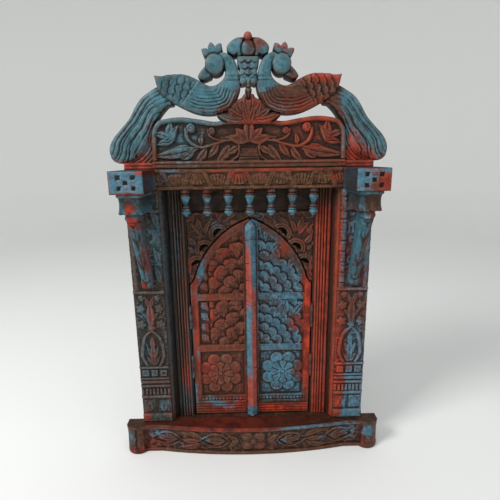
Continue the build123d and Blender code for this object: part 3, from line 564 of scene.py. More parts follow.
def peacockSurface(ax, z, parts):
    out = 50 - 6 * roundOff(parts["peacock"], 10)
    fromOuter, place = lineDistance(curveThrough(peacockOuter), ax, z)
    wingLine = (812 - z) * 31 / 40 + 92
    wing = smoothStep(-3, 3, ax - wingLine - 2)
    neck = (z > 806) & (ax < 60)
    wander = fromOuter + 0.9 * hashNoise(ax, z, 15, 6) + 0.5 * hashNoise(ax, z, 6, 7)
    strands = cut((wander % 6.1) - 3.05, 1.5) * (0.55 + 0.45 * hashNoise(ax, z, 19, 8)) * (fromOuter > 2.5)
    strands *= (1 - wing) * np.where(neck, 0, 1) * smoothStep(0.30, 0.36, place)
    out -= 2.8 * strands
    rings = np.maximum(cut(z - 816.5, 1.4), cut(z - 809.5, 1.4)) * (ax < 46) * (place < 0.5)
    out -= 2.0 * rings
    along, down = (ax - 92) * 0.95 + (z - 812) * 0.3, (z - 775) * 0.95 - (ax - 120) * 0.3
    tiles = scaleRows(along / 13, lambda row: down / 15 + 0.5 * (row % 2), 8)
    bare = smoothStep(176, 168, ax)
    out = np.where(wing > 0.5, out - 6.2 * (0.92 - tiles) * bare, out)
    border = cut(ax - wingLine - 2, 1.6) * (z < 813) * (z > 770)
    return out - 1.8 * border


def tailSurface(ax, z, parts):
    out = 44 - 6 * roundOff(parts["tail"], 13)
    spine = curveThrough([
        (160, 806), (197.5, 787.8), (216.3, 769.7), (232.1, 744.1), (249.3, 725.3), (267, 706.5), (277, 685)])
    away, place = lineDistance(spine, ax, z)
    wander = 1.6 * hashNoise(ax, z, 34, 5) + 0.8 * hashNoise(ax, z, 13, 9)
    strands = np.zeros(ax.shape)
    for start, drift, swing, depth in (
            (6, 3, 1.5, 0.8), (12, 7, 2.5, 1.0), (19, 4, 3.0, 0.7), (26, 12, 3.0, 1.0), (31, 3, 2.0, 0.7),
            (39, 12, 3.5, 0.9)):
        line = start + drift * place + swing * np.sin(place * 7 + start) + wander
        strands = np.maximum(strands, depth * cut(away - line, 2.3))
    out -= 3.4 * strands * np.clip(0.9 + 0.7 * hashNoise(ax, z, 30, 10), 0.35, 1)
    plumes = np.zeros(ax.shape)
    for root, tip, width, bend in (
            ((182, 752), (202, 706), 15, -4), ((197, 744), (215, 690), 15, -5),
            ((213, 730), (228, 676), 15, -4), ((205, 700), (232, 664), 14, -4)):
        plumes = np.maximum(plumes, leaf(ax, z, root, tip, width, bend, vein=0.4))
    return np.where(plumes > 0, np.maximum(out - 1.2, out - 1.6 + 2.6 * plumes), out)


def finialSurface(x, z, parts):
    out = 50 - 5 * roundOff(parts["finial"], 7)
    shells = np.full(x.shape, 42.0)
    for cx, cz, rx, rz, high in ((-20, 868, 20, 16, 49), (20, 868, 20, 16, 49), (0, 866, 13.5, 14, 50.5)):
        away = np.hypot((x - cx) / rx, (z - cz) / rz)
        fan = np.arctan2(x * 0.8 - cx * 0.25, 890 - z)
        rib = 0.7 * cut((fan * 5 % 1) - 0.5, 0.12)
        shells = np.where(away < 1, np.maximum(shells, high - 5 * (1 - bead(away, 1.0)) - rib), shells)
    parting, _ = lineDistance(curveThrough([(4, 884), (11, 873), (13.5, 862), (11, 853)], 5), np.abs(x), z)
    out = np.where(z > 851.5, np.minimum(shells, out) - 3.2 * cut(parting, 2.2), out)
    bud = bead(np.hypot(x, z - 886), 8)
    out = np.maximum(out, np.where(bud > 0, 45 + 8 * bud, 0))
    calyx = scaleRows((852 - z) / 11, lambda row: x / 13 + 0.5 * (row % 2), 4, 0.6, 0.2)
    out = np.where((z < 851.5) & (z > 812), out - 4.5 * (0.9 - calyx), out)
    out -= 2.2 * cut(z - 852, 1.8)
    for cx in (-10, 10):
        knob = np.hypot(x - cx, z - 808)
        out = np.where(knob < 7, 46 + 5 * bead(knob, 7), out)
    return np.where(z < 798, np.maximum(out - 4, 42), out)


def moundSurface(x, z, parts):
    ax = np.abs(x)
    out = 49 - 5 * roundOff(parts["mound"], 7) - 4 * smoothStep(20, 70, ax)
    for root, tip, width, bend in (((0, 742), (6, 785), 15, 2), ((4, 742), (24, 775), 14, 4),
                                   ((6, 740), (44, 763), 13, 4), ((10, 737), (62, 748), 12, 3),
                                   ((0, 730), (10, 768), 12, 2)):
        shape = leaf(ax, z, root, tip, width, bend)
        out = np.where(shape > 0, np.maximum(out - 1.5, 46 + 5 * shape), out)
    strands = cut(((z + ax * 0.8 + 2 * np.sin(ax * 0.12)) % 6.5) - 3.25, 1.1)
    return out - 0.9 * strands


def panelSurface(x, z, parts):
    ax = np.abs(x)
    out = np.full(x.shape, 39.0) + 0.5 * hashNoise(x, z, 6, 3)
    shapes = [
        leaf(ax, z, (157, 698), (153, 739), 18), leaf(ax, z, (154, 694), (138, 729), 16, 5),
        leaf(ax, z, (157, 704), (187, 714), 15, -3), leaf(ax, z, (153, 696), (182, 693), 13, -3),
        leaf(ax, z, (98, 687), (192, 671), 22, 3), leaf(ax, z, (108, 688), (137, 662), 15, 3),
        leaf(ax, z, (84, 687), (107, 659), 16, 3), leaf(ax, z, (60, 697), (83, 666), 14, 2),
        leaf(ax, z, (38, 692), (66, 657), 19, 3), leaf(ax, z, (94, 690), (92, 713), 10, 2),
        leaf(ax, z, (20, 690), (44, 672), 14), leaf(ax, z, (30, 700), (58, 706), 10),
        leaf(ax, z, (118, 690), (150, 686), 9),
    ]
    for shape in shapes:
        out = np.where(shape > 0, np.maximum(out, 39.6 + 5.2 * shape), out)
    scribble = cut(((z * 0.9 + ax * 0.35 + 3 * hashNoise(x, z, 11, 4)) % 5.2) - 2.6, 1.2)
    out -= 0.7 * scribble
    stems = [
        ([(123, 722), (123, 710), (116, 697), (98, 688), (80, 690), (50, 699), (30, 702)], 3.6),
        ([(80, 719), (77, 709), (66, 702), (48, 699)], 2.8),
        ([(30, 702), (20, 690), (22, 672), (34, 662)], 3.0),
    ]
    for points, half in stems:
        away, place = lineDistance(curveThrough(points, 6), ax, z)
        out = np.maximum(out, 39 + 5.5 * bead(away, half * (1.1 - 0.4 * place)))
    for cx, cz, r in ((114, 724, 9), (73, 718, 7)):
        away = np.hypot(ax - cx, z - cz)
        turn = np.arctan2(z - cz, ax - cx) / (2 * pi)
        coil = (away / r * 1.6 - turn) % 1
        knob = np.sqrt(np.clip(1 - (away / r) ** 4, 0, 1))
        out = np.where(away < r, 41.5 + 4.5 * knob - 2.2 * cut(coil - 0.5, 0.18), out)
    lotus = np.maximum(leaf(x, z, (0, 696), (0, 750), 22), 0)
    for tip in ((27, 724), (44, 708)):
        lotus = np.maximum(lotus, 0.85 * leaf(ax, z, (2, 697), tip, 20, vein=0.2))
    out = np.where(lotus > 0, np.maximum(out, 40 + 8 * lotus), out)
    vase = np.maximum(ax - 22 + (z - 660) * 0.25, np.abs(z - 672) - 12)
    out = np.where(vase < 0, np.maximum(out, 43.5 - 1.6 * cut((z % 6) - 3, 1.2)), out)
    rim = bead(parts["panel"] + 4.5, 4.8) * (z > 663)
    out = np.maximum(out, np.where(rim > 0, 40 + 5.5 * rim, 0))
    shelf = smoothStep(663, 660, z)
    return out * (1 - shelf) + (45.5 - 2 * cut(z - 655, 1.5) - 2.5 * smoothStep(650, 646, z)) * shelf


def crestSurface(x, z, edge):
    ax = np.abs(x)
    parts = crestParts(x, z)
    out = np.full(x.shape, 36.0)
    layers = [
        ("foot", 44 - 2 * roundOff(parts["foot"], 4) - 1.5 * cut(z - 652, 1.6)),
        ("panel", panelSurface(x, z, parts)), ("tail", tailSurface(ax, z, parts)),
        ("mound", moundSurface(x, z, parts)), ("finial", finialSurface(x, z, parts)),
        ("peacock", peacockSurface(ax, z, parts)), ("beak", 47 - 4 * roundOff(parts["beak"], 6)),
        ("crown", 46.5 - 3.5 * roundOff(parts["crown"], 5)),
        ("head", 48.5 + 6.5 * bead(parts["head"] + headRadius, headRadius + 1)),
    ]
    for name, level in layers:
        out = np.where(parts[name] < 0.01, level, out)
    return out + 0.35 * hashNoise(x, z, 9, 1) + 0.2 * hashNoise(x, z, 3.1, 2)


carve("crestCarving", (-279, 279, 646, 894), 1.35, crestSurface, crestLook, crestEdge, 4.0,
      stoodFor=("crest_upper_board", "crest_lower_board"))

# Short feathers that fill the corner between each tail, the panel and the foot
tailFoot = {"inner": 185, "outer": 247, "bottom": 658, "top": 723, "lap": 1.0, "level": 39.5, "pitch": 7,
            "depth": 2.2}


def tailFootEdge(x, z):
    ax, parts = np.abs(x), crestParts(x, z)
    beside = np.maximum(-parts["tail"], -parts["panel"]) - tailFoot["lap"]
    corner = np.maximum(np.maximum(tailFoot["inner"] - ax, ax - tailFoot["outer"]),
                        np.maximum(tailFoot["bottom"] - z, z - tailFoot["top"]))
    return np.maximum(beside, corner)


def tailFootSurface(x, z, edge):
    wander = crestParts(x, z)["tail"] + 1.2 * hashNoise(np.abs(x), z, 16, 11)
    flutes = cut(wander % tailFoot["pitch"] - tailFoot["pitch"] / 2, 1.5)
    return tailFoot["level"] - tailFoot["depth"] * flutes + 0.5 * hashNoise(x, z, 6, 12)


spare = 2  # of grid round the corner's edge
tailFootBox = (-tailFoot["outer"] - spare, tailFoot["outer"] + spare, tailFoot["bottom"] - spare,
               tailFoot["top"] + spare)
carve("tailFootCarving", tailFootBox, 1.35, tailFootSurface, crestLook, tailFootEdge, 4.0)


# Leaves in the pointed arch

archFoot, archApex, archSpring = (122.5, 419), (0, 544.5), (openingHalf, springLevel)
archRight = np.vstack([
    arcThrough(archSpring, (127.65, 406.2), archFoot, 8)[:-1],
    arcThrough(archFoot, (89.4, 480.5), archApex, 30),
])
archHole = np.vstack([[(-openingHalf, sillTop), (openingHalf, sillTop)], archRight, mirrored(archRight)[1:]])


def leafEdge(x, z):
    ax = np.abs(x)
    return np.maximum(shapeDistance(archHole, ax, z) + 2.4, 2.13 - ax)


def leafFields(ax, z):
    arch = shapeDistance(archHole, ax, z)
    sides = np.maximum(16 - ax, ax - 117)
    return [
        np.maximum(sides, np.abs(z - 177) - 57), np.maximum(sides, np.abs(z - 304) - 54),
        np.maximum(np.maximum(sides, 374 - z), arch + 18),
    ]


def leafGround(ax, z):
    out = np.full(ax.shape, 22.0)
    for field in leafFields(ax, z):
        out = np.where(field < 0, 17.2, out)
        out -= 1.2 * cut(field - 2.5, 1.2)
    for low in (77, 84, 91, 98):
        out = np.where((z > 72) & (z < 103) & (ax > 14), out - 1.6 * cut(z - low, 1.5), out)
    pearls = np.hypot((ax % 8) - 4, z - 111)
    out = np.where((np.abs(z - 111) < 5) & (ax > 16) & (ax < 120), 19.8 + 2.4 * bead(pearls, 3.6), out)
    return out


def flowerRelief(ax, z, centre):
    out = np.zeros(ax.shape)
    for number in range(8):
        angle = radians(22.5 + 45 * number)
        away = np.hypot(ax - centre[0] - 36 * sin(angle), z - centre[1] - 37 * cos(angle))
        petal = 0.66 - 0.25 * smoothStep(11.5, 14.6, away) + 0.12 * smoothStep(9, 2, away)
        out = np.where(away < 14.6, np.maximum(out, petal), out)
    away = np.hypot(ax - centre[0], z - centre[1])
    turn = np.arctan2(z - centre[1], ax - centre[0]) / (2 * pi) * 8 + 0.5
    aside = 2 * (turn - np.floor(turn)) - 1
    tip = 28.5 - 8 * (1 - np.sqrt(1 - 0.97 * aside ** 2))
    inner = 0.72 + 0.26 * (away / tip) - 0.35 * smoothStep(0.72, 1.0, np.abs(aside)) * (away > 9)
    out = np.where(away < tip, inner, out)
    return np.where(away < 6, 0.75 + 0.3 * bead(away, 6) - 0.4 * cut(away - 5.4, 1.2), out)


def fanRelief(ax, z, corner, row, width, rows, swell):
    away = np.hypot(ax - corner[0], z - corner[1])
    turn = np.arctan2(z - corner[1], ax - corner[0]) / (pi / 2)

    def along(number):
        return turn * max(1, round(number * row * pi / 2 / width)) + 0.5 * (number % 2)

    return scaleRows(away / row, along, rows, 0.45, swell)


def rightLeafSurface(x, z, edge):
    ax = np.abs(x)
    out = leafGround(ax, z)
    flower, middle, arch = leafFields(ax, z)
    carvedFlower = flowerRelief(ax, z, (72, 179))
    out = np.where((flower < 0) & (carvedFlower > 0), 17 + 5.2 * carvedFlower, out)
    for field, corner in ((middle, (8, 240)), (arch, (8, 362))):
        turn = np.arctan2(z - corner[1], ax - corner[0])
        combed = 0.7 * cut(((turn * 21 + 0.02 * np.hypot(ax, z)) % 1) - 0.5, 0.3)
        out = np.where(field < 0, 15.9 + 6.2 * fanRelief(ax, z, corner, 22, 25, 9, 0.06) - combed, out)
    for root, tip, width in (((66, 316), (80, 359), 30), ((62, 450), (48, 486), 20),
                             ((96, 322), (116, 348), 16), ((84, 432), (98, 460), 16),
                             ((30, 496), (22, 524), 16), ((44, 470), (66, 492), 14)):
        bloom = leaf(ax, z, root, tip, width, vein=0.3)
        out = np.where((bloom > 0) & ((middle < 0) | (arch < 0)), np.maximum(out - 1, 17.5 + 5 * bloom), out)
    return out - 1.8 * roundOff(edge, 2.5) + 0.3 * hashNoise(x, z, 6, 11) + 0.2 * hashNoise(x, z, 2.6, 12)


def leftLeafSurface(x, z, edge):
    ax = np.abs(x)
    out = leafGround(ax, z)
    flower, middle, arch = leafFields(ax, z)
    carvedFlower = flowerRelief(ax, z, (73, 177))
    out = np.where((flower < 0) & (carvedFlower > 0), 17 + 5.2 * carvedFlower, out)
    warpX = ax + 3.5 * hashNoise(ax, z, 22, 15) + 1.6 * hashNoise(ax, z, 9, 17)
    warpZ = z + 3.5 * hashNoise(ax, z, 22, 16) + 1.6 * hashNoise(ax, z, 9, 18)
    for field, corner, seed in ((middle, (12, 244), 1), (arch, (12, 368), 2)):
        scrolls = fanRelief(warpX, warpZ, corner, 31, 36, 6, 0.34)
        turn = np.arctan2(warpZ - corner[1], warpX - corner[0])
        flutes = cut(((turn * 7.6) % 1) - 0.5, 0.16) * (np.hypot(warpX - corner[0], warpZ - corner[1]) < 46)
        curls = cut(hashNoise(warpX, warpZ, 13, 19 + seed), 0.2)
        out = np.where(field < 0, 14.6 + 8.4 * scrolls - 2.4 * flutes - 1.3 * curls, out)
        step = (z + 6 * seed) % 26 - 13
        away = np.hypot(ax - 105, step)
        floret = np.maximum(bead(away, 9), 0.75 * leaf(ax, step, (95, -12), (114, 10), 10))
        out = np.where((field < 0) & (ax >= 93), 17 + 4.4 * floret - 1.6 * cut(away - 4.8, 1.3), out)
        out = np.where(field < 0, out - 2.2 * cut(ax - 93 - 2 * np.sin(z * 0.24), 1.7), out)
    return out - 1.8 * roundOff(edge, 2.5) + 0.35 * hashNoise(x, z, 5, 13) + 0.25 * hashNoise(x, z, 2.4, 14)


rightLeafLook = {
    "slot": "blue_timber", "cavitySize": 2.4, "cavityDepth": 1.25, "groundShare": 0.16,
    "material": paintedTimber("rightLeafPaint", redLight="#bd3a20", woodLight="#5c4030", grimeAndShade=0.84, rubAndHighlight=0.2),
    "blue": 0.52, "red": 0.2,
    "blueSpots": [
        (126, 280, 9, 150, -1.2), (60, 86, 80, 15, -1.2), (16, 180, 8, 60, -0.5), (96, 478, 30, 36, -0.5),
        (126, 420, 12, 40, -0.9), (108, 178, 16, 26, -0.3), (40, 525, 24, 20, -0.4),
        (100, 300, 14, 24, -0.25), (70, 480, 14, 26, -0.25), (112, 130, 10, 14, 0.2), (66, 182, 36, 40, 0.22),
    ],
    "redSpots": [
        (126, 290, 10, 150, 0.9), (60, 86, 80, 14, 0.7), (60, 103, 60, 6, -0.6), (100, 300, 16, 24, 0.35),
        (70, 474, 16, 22, 0.35), (104, 176, 16, 20, 0.2), (100, 500, 20, 20, 0.15),
    ],
    "paleSpots": [(74, 470, 16, 20, 0.25), (104, 178, 12, 20, 0.25)],
}
leftLeafLook = {
    "slot": "brown_timber", "cavitySize": 2.6, "cavityDepth": 1.1, "groundShare": 0.25,
    "material": paintedTimber("leftLeafPaint", redLight="#a5381f", woodDark="#38211a", woodLight="#7d4a34"),
    "blue": -0.05, "red": 0.3,
    "blueSpots": [
        (-108, 425, 11, 36, 0.75), (-105, 330, 11, 26, 0.6), (-100, 110, 22, 12, 0.6), (-60, 92, 25, 14, 0.6),
        (-108, 285, 10, 26, 0.45), (-35, 112, 14, 10, 0.5), (-131, 130, 5, 40, 0.6), (-70, 500, 16, 14, 0.3),
        (-118, 370, 8, 20, 0.5), (-122, 230, 7, 30, 0.5), (-96, 460, 12, 16, 0.35),
        (-134, 330, 5, 100, 0.6), (-86, 96, 20, 10, 0.3),
    ],
    "redSpots": [
        (-124, 300, 8, 120, 0.34), (-20, 150, 10, 60, 0.3), (-60, 86, 60, 14, 0.4), (-100, 200, 20, 40, 0.3),
        (-80, 420, 20, 30, 0.25), (-50, 470, 24, 30, 0.2), (-90, 330, 14, 40, 0.3), (-24, 96, 10, 20, 0.5),
    ],
}
carve("rightLeafCarving", (0, openingHalf, sillTop, 545), 1.3, rightLeafSurface, rightLeafLook, leafEdge, 4.0,
      "right_leaf", ("right_leaf",))
carve("leftLeafCarving", (-openingHalf, 0, sillTop, 545), 1.3, leftLeafSurface, leftLeafLook, leafEdge, 4.0,
      "left_leaf", ("left_leaf",))


# Cover strip, nailed to the left leaf

def stripEdge(x, z):
    half = np.minimum(13.5, np.maximum(0, (539.5 - z) * 13.5 / 17))
    return np.maximum(np.abs(x) - half, 71.6 - z)


def stripSurface(x, z, edge):
    out = 26 + 9 * (13.5 - np.abs(x)) / 13.5 + 0.9 * smoothStep(13.5, 8, np.abs(x))
    out = np.minimum(out, 24.5 + np.clip(539.5 - z, 0, 60) * 0.72)
    for level in (93, 197, 289, 350, 405, 446, 497):
        wander = level + 1.5 * np.sin(x * 0.25 + level)
        out -= 1.7 * cut(z - wander, 1.5) + 0.9 * cut(z - wander - 5, 1.2)
    return out - 1.0 * roundOff(edge, 2) + 0.35 * hashNoise(x, z, 7, 21) + 0.15 * hashNoise(x, z, 2.4, 22)


stripLook = {
    "slot": "blue_timber", "sharp": 24,
    "material": paintedTimber("stripPaint", redDark="#8f382d", redLight="#b8564a"),
    "blue": 0.55, "red": 0.62, "cavityDepth": 1.0,
    "blueSpots": [(-8, 430, 7, 50, -0.9), (9, 250, 6, 90, -1.0), (-6, 130, 12, 30, -0.9),
                  (-4, 385, 12, 22, -0.6), (0, 80, 14, 16, 0.6), (-7, 250, 6, 60, 0.35),
                  (0, 520, 16, 26, 0.5), (8, 420, 6, 60, 0.4)],
}
carve("stripCarving", (-13.5, 13.5, 71.6, 539.5), 1.3, stripSurface, stripLook, stripEdge, 22.6,
      "left_leaf", ("cover_strip",))


# Arch panel and header board

archMoons = ((69.6, 511, 46), (100, 478, 58), (118, 443.5, 66))


def moonPlace(ax, z, moon):
    turn = radians(moon[2])
    outward = (ax - moon[0]) * cos(turn) + (z - moon[1]) * sin(turn)
    return outward, (moon[0] - ax) * sin(turn) + (z - moon[1]) * cos(turn)


def archEdge(x, z):
    ax = np.abs(x)
    board = np.maximum(ax - openingHalf, np.maximum(springLevel - z, z - archTop))
    edge = np.maximum(board, -shapeDistance(archHole, ax, z))
    for moon in archMoons:
        u, v = moonPlace(ax, z, moon)
        edge = np.maximum(edge, -np.maximum(np.hypot(u + 4, v) - 11.5, -u))
    return edge


def archSurface(x, z, edge):
    ax = np.abs(x)
    out = 18.4 + 1.1 * hashNoise(x, z, 8, 31) + 0.6 * hashNoise(x, z, 3, 32)
    out += 2.6 * cut(hashNoise(x, z, 12, 35), 0.3) + 1.2 * cut(hashNoise(x, z, 7, 36), 0.2)
    for moon in archMoons:
        u, v = moonPlace(ax, z, moon)
        away = np.hypot(u + 3, v)
        for radius, half in ((14.5, 2.4), (19.5, 2.6)):
            out = np.where(u > -3, np.maximum(out, 19 + 3.6 * bead(away - radius, half)), out)
    for root, tip, width, bend in (
            ((96, 508), (84, 540), 12, 3), ((116, 486), (134, 506), 12, 3), ((84, 526), (58, 549), 12, -3),
            ((130, 420), (134, 460), 9, 2), ((104, 505), (128, 532), 15, -4),
            ((100, 512), (112, 548), 13, 3), ((48, 540), (26, 553), 9, 2), ((122, 470), (134, 482), 9, 0)):
        shape = leaf(ax, z, root, tip, width, bend)
        out = np.where(shape > 0, np.maximum(out, 18.8 + 4.2 * shape), out)
    return np.minimum(out, 23.5) - 1.5 * roundOff(edge, 2.2)


archLook = {
    "slot": "brown_timber", "material": paintedTimber("archPaint", woodDark="#21140d", woodLight="#5d3d2b"),
    "blue": -0.05, "red": 0.12, "cavityDepth": 1.2,
    "blueSpots": [(-70, 525, 22, 20, 0.45), (20, 548, 20, 10, 0.5), (-125, 470, 12, 20, 0.35),
                  (112, 450, 8, 20, 0.2)],
    "redSpots": [(115, 510, 25, 30, 0.35), (-126, 440, 10, 25, 0.35), (130, 420, 8, 25, 0.4)],
    "paleSpots": [(60, 546, 22, 9, 0.3), (112, 500, 22, 26, 0.28), (-72, 520, 22, 18, 0.3),
                  (104, 458, 14, 22, 0.3)],
}
carve("archCarving", (-openingHalf, openingHalf, springLevel, archTop), 1.35, archSurface, archLook,
      archEdge, 4.0, stoodFor=("arch_panel",))


# Thin board behind the half-moons, which the heads of the leaves close on
archStopHalf = 128


def archStopEdge(x, z):
    board = np.maximum(np.abs(x) - archStopHalf, np.maximum(springLevel - z, z - archTop))
    return np.maximum(board, -shapeDistance(archHole, np.abs(x), z) - 8)


def archStopSurface(x, z, edge):
    return np.where(shapeDistance(archHole, np.abs(x), z) < 1, 3.4, 4.0)


archStopLook = dict(archLook,
                    material=paintedTimber("archStopPaint", woodDark="#140d09", woodLight="#2c1c13"),
                    blue=-1, red=-1, blueSpots=[], redSpots=[], paleSpots=[])
carve("archStopCarving", (-archStopHalf, archStopHalf, springLevel, archTop), 2.4, archStopSurface,
      archStopLook, archStopEdge, 0.0)


def headerSurface(x, z, edge):
    return 14 + 1.0 * hashNoise(x, z, 12, 33) + 0.5 * hashNoise(x, z, 4, 34)


headerLook = {
    "slot": "brown_timber",
    "material": paintedTimber("headerPaint", "across", woodDark="#1a110b", woodLight="#3f2a1d"),
    "blue": -0.1, "red": 0.0, "blueSpots": [(-90, 580, 60, 30, 0.2)],
}
carve("headerCarving", (-openingHalf, openingHalf, archTop, lintelFoot), 2.6, headerSurface, headerLook,
      None, 4.0, stoodFor=("header_board",))


# Lintel and corbel blocks

def lintelSurface(x, z, edge):
    out = 44.2 + 0.7 * hashNoise(x, z, 5, 41) + 0.5 * hashNoise(x, z, 2.6, 42)
    pitch, lean, up = 42.0, 0.5, z - 625
    number = np.floor((x + blockInner) / pitch)
    turned = np.where(np.mod(number, 2) == 0, -1, 1)
    slant = (x + blockInner) % pitch - pitch / 2 - up * lean * turned
    # each cell between two legs opens up or down, and its flutes spread with it
    cell = np.floor((x + blockInner) / pitch + 0.5)
    opened = np.where(np.mod(cell, 2) == 0, -1, 1)
    halfCell = pitch / 2 + up * lean * opened - 5.5
    aside = ((x + blockInner) - cell * pitch) / halfCell
    along = 0.5 + up * opened / 26
    tip = 0.96 - 0.3 * np.abs(aside) ** 2
    flutes = bead((aside * 2.5 + 0.5) % 1 - 0.5, 0.5) * smoothStep(tip, tip - 0.08, along)
    flutes = flutes * smoothStep(-0.2, 0.3, along)
    out = np.where(np.abs(aside) < 1, np.maximum(out, 44.6 + 3.2 * flutes), out)
    ribbon = np.abs(slant) - 5.4
    bars = 48.4 - 1.2 * cut((slant % 3.6) - 1.8, 0.9) - 1.2 * roundOff(ribbon, 2.2)
    out = np.where(ribbon < 0, np.maximum(out, bars), out)
    out = np.where(z > 638, 48.3 - 1.4 * cut(z - 639.5, 1.4), out)
    out = np.where(z < 611.5, 46.8 + 1.6 * bead((x % 5.25) - 2.6, 2.5), out)
    out -= 1.6 * cut(z - 612.5, 1.3)
    kept = np.clip(0.8 + 0.5 * hashNoise(x, z, 17, 43), 0.4, 1)
    worn = 46 + 1.2 * hashNoise(x, z, 6, 44) + 0.7 * hashNoise(x, z, 3, 45)
    return np.minimum(out * kept + worn * (1 - kept), 49.3) - 1.6 * roundOff(edge, 3)


lintelLook = {
    "slot": "brown_timber",
    "material": paintedTimber("lintelPaint", "across", woodDark="#35210f", woodLight="#6e4a31", grimeAndShade=0.55),
    "blue": -0.12, "red": 0.12, "cavityDepth": 1.7,
    "blueSpots": [(-150, 642, 40, 6, 0.5), (-172, 624, 26, 18, 0.45), (176, 615, 12, 14, 0.4),
                  (-15, 610, 12, 6, 0.4)],
    "redSpots": [(-25, 632, 24, 12, 0.45), (20, 630, 16, 14, 0.3), (172, 625, 14, 12, 0.5),
                 (-70, 640, 30, 6, 0.3), (70, 643, 80, 5, 0.5)],
}
carve("lintelCarving", (-blockInner, blockInner, lintelFoot, lintelTop), 1.35, lintelSurface, lintelLook,
      None, 0.0, stoodFor=("lintel",))


def blockSurface(x, z, edge):
    ax = np.abs(x) - columnMiddle
    out = 143.6 + 0.5 * hashNoise(x, z, 8, 51)
    for px, pz in ((0, 0), (-13, -9.4), (13, -9.4), (-13, 9.4), (13, 9.4)):
        hole = np.maximum(np.abs(ax - px), np.abs(z - 625.5 - pz)) - 3.7 - 0.7 * hashNoise(x, z, 4, 52)
        out -= 4.5 * smoothStep(0.9, -0.9, hole)
    return out - 2.6 * roundOff(edge, 4)


for side, name in bothSides:
    blockLook = {
        "slot": "blue_timber", "material": paintedTimber(name + "BlockPaint", "across"), "blue": 0.74,
        "red": 0.6,
        "paintedSides": True,
        "blueSpots": [(-254, 626, 5, 24, -0.8), (-220, 604, 40, 4, -0.6), (-188, 642, 14, 6, -0.6)],
    }
    if side > 0:
        blockLook.update(
            blue=0.5, red=0.35, redSpots=[(244, 622, 10, 14, 0.6), (214, 640, 12, 6, 0.3)],
            blueSpots=[(242, 622, 12, 14, -1.0), (228, 612, 16, 8, -0.5), (200, 630, 10, 20, 0.3),
                       (246, 642, 10, 5, 0.5)])
    box = sideBox(side, blockInner, blockOuter, lintelFoot, lintelTop)
    carve(name + "BlockCarving", box, 1.3, blockSurface, blockLook, None, 0.0,
          stoodFor=(name + "_corbel_block",))


# Columns

def columnSurface(x, z, edge):
    ax = np.abs(x) - columnMiddle
    out = 41.6 + 0.5 * hashNoise(x, z, 7, 61 + np.sign(x.mean())) + 0.3 * hashNoise(x, z, 2.8, 62)
    out += 1.8 * cut(hashNoise(x, z, 11, 64), 0.28)
    band = np.zeros(x.shape)
    for low, high in ((70, 92), (132, 139), (160, 166), (170, 177), (180, 184), (207, 212), (384, 391),
                      (560, 566)):
        band = np.maximum(band, bead(z - (low + high) / 2, (high - low) / 2))
    out = np.maximum(out, 42 + 4 * band ** 0.5)
    for cx in (-20, 0, 20):
        square = np.maximum(np.abs(ax - cx), np.abs(z - 196)) - 7.5
        ring = cut(np.hypot(ax - cx, z - 196) - 3, 1.2)
        out = np.where(square < 0, 46 - 1.5 * roundOff(square, 3) - 1.8 * ring, out)
    for cx in (-16, 16):
        square = np.maximum(np.abs(ax - cx), np.abs(z - 112) - 3) - 12
        shape = leaf(ax, z, (cx, 98), (cx, 127), 16)
        out = np.where(square < 0, 43.5 + 2.5 * shape, out)
    teeth = np.abs((ax % 8.5) - 4.25) - 3
    out = np.where((np.abs(z - 149.5) < 8) & (teeth < 0), 45.6 - 1.2 * roundOff(teeth, 2), out)
    width = np.interp(z, [212, 222, 238, 262, 282, 292, 301], [15, 21, 27, 25, 20, 12, 0])
    rim = np.abs(np.abs(ax) - width + 3)
    out = np.where((z > 214) & (z < 301), np.maximum(out, 42 + 4 * bead(rim, 4)), out)
    for root, tip, wide in (((0, 222), (0, 268), 17), ((0, 232), (13, 262), 9), ((0, 232), (-13, 262), 9),
                            ((0, 255), (0, 285), 12), ((0, 214), (14, 236), 9), ((0, 214), (-14, 236), 9)):
        shape = leaf(ax, z, root, tip, wide)
        out = np.where(shape > 0, np.maximum(out, 42.3 + 3.6 * shape), out)
    for cx, cz, r in ((-20, 350, 9), (20, 350, 9), (-21, 313, 9.5), (21, 313, 9.5), (-17, 375, 7),
                      (17, 375, 7), (0, 306, 8)):
        lobes = 1 + 0.16 * np.cos(5 * np.arctan2(z - cz, ax - cx))
        away = np.hypot(ax - cx, z - cz) * lobes
        rosette = 42 + 4.2 * bead(away, r) - 1.3 * cut(away - r * 0.45, 1.1)
        out = np.where(away < r, np.maximum(out, rosette), out)
    for root, tip, wide in (((0, 306), (0, 366), 19), ((2, 325), (18, 342), 8), ((-2, 325), (-18, 342), 8),
                            ((0, 352), (10, 380), 9), ((0, 352), (-10, 380), 9)):
        shape = leaf(ax, z, root, tip, wide)
        out = np.where(shape > 0, np.maximum(out, 42.3 + 4 * shape), out)
    upper = (z > 391) & (z < 605)
    lane = np.abs(ax) - 25
    turned = 43 + 2.6 * bead(lane, 5 + 1.2 * np.sin(z * 0.37))
    if x.mean() > 0:
        stacked = np.maximum(43 + 3 * bead(lane, 6) - 2.4 * cut((z % 23) - 11.5, 2.2), 42)
        turned = np.where(ax < 0, stacked - 1.2 * cut((z % 23) - 4, 1.4), turned)
    else:
        plume = np.zeros(x.shape)
        for low in (408, 448, 488, 528):
            plume = np.maximum(plume, leaf(ax, z, (-27, low), (-17, low + 38), 13, -2))
        turned = np.where(ax < 0, 42.3 + 3.4 * plume, turned)
    out = np.where(upper & (np.abs(lane) < 9), np.maximum(out, turned), out)
    worn = np.clip(hashNoise(x * 0 + np.sign(ax) * 9, z, 22, 63), 0, 1) * 2.4
    return out - (2.4 + worn) * roundOff(edge, 4.5) - 1.2 * cut(z - 398, 1.2)


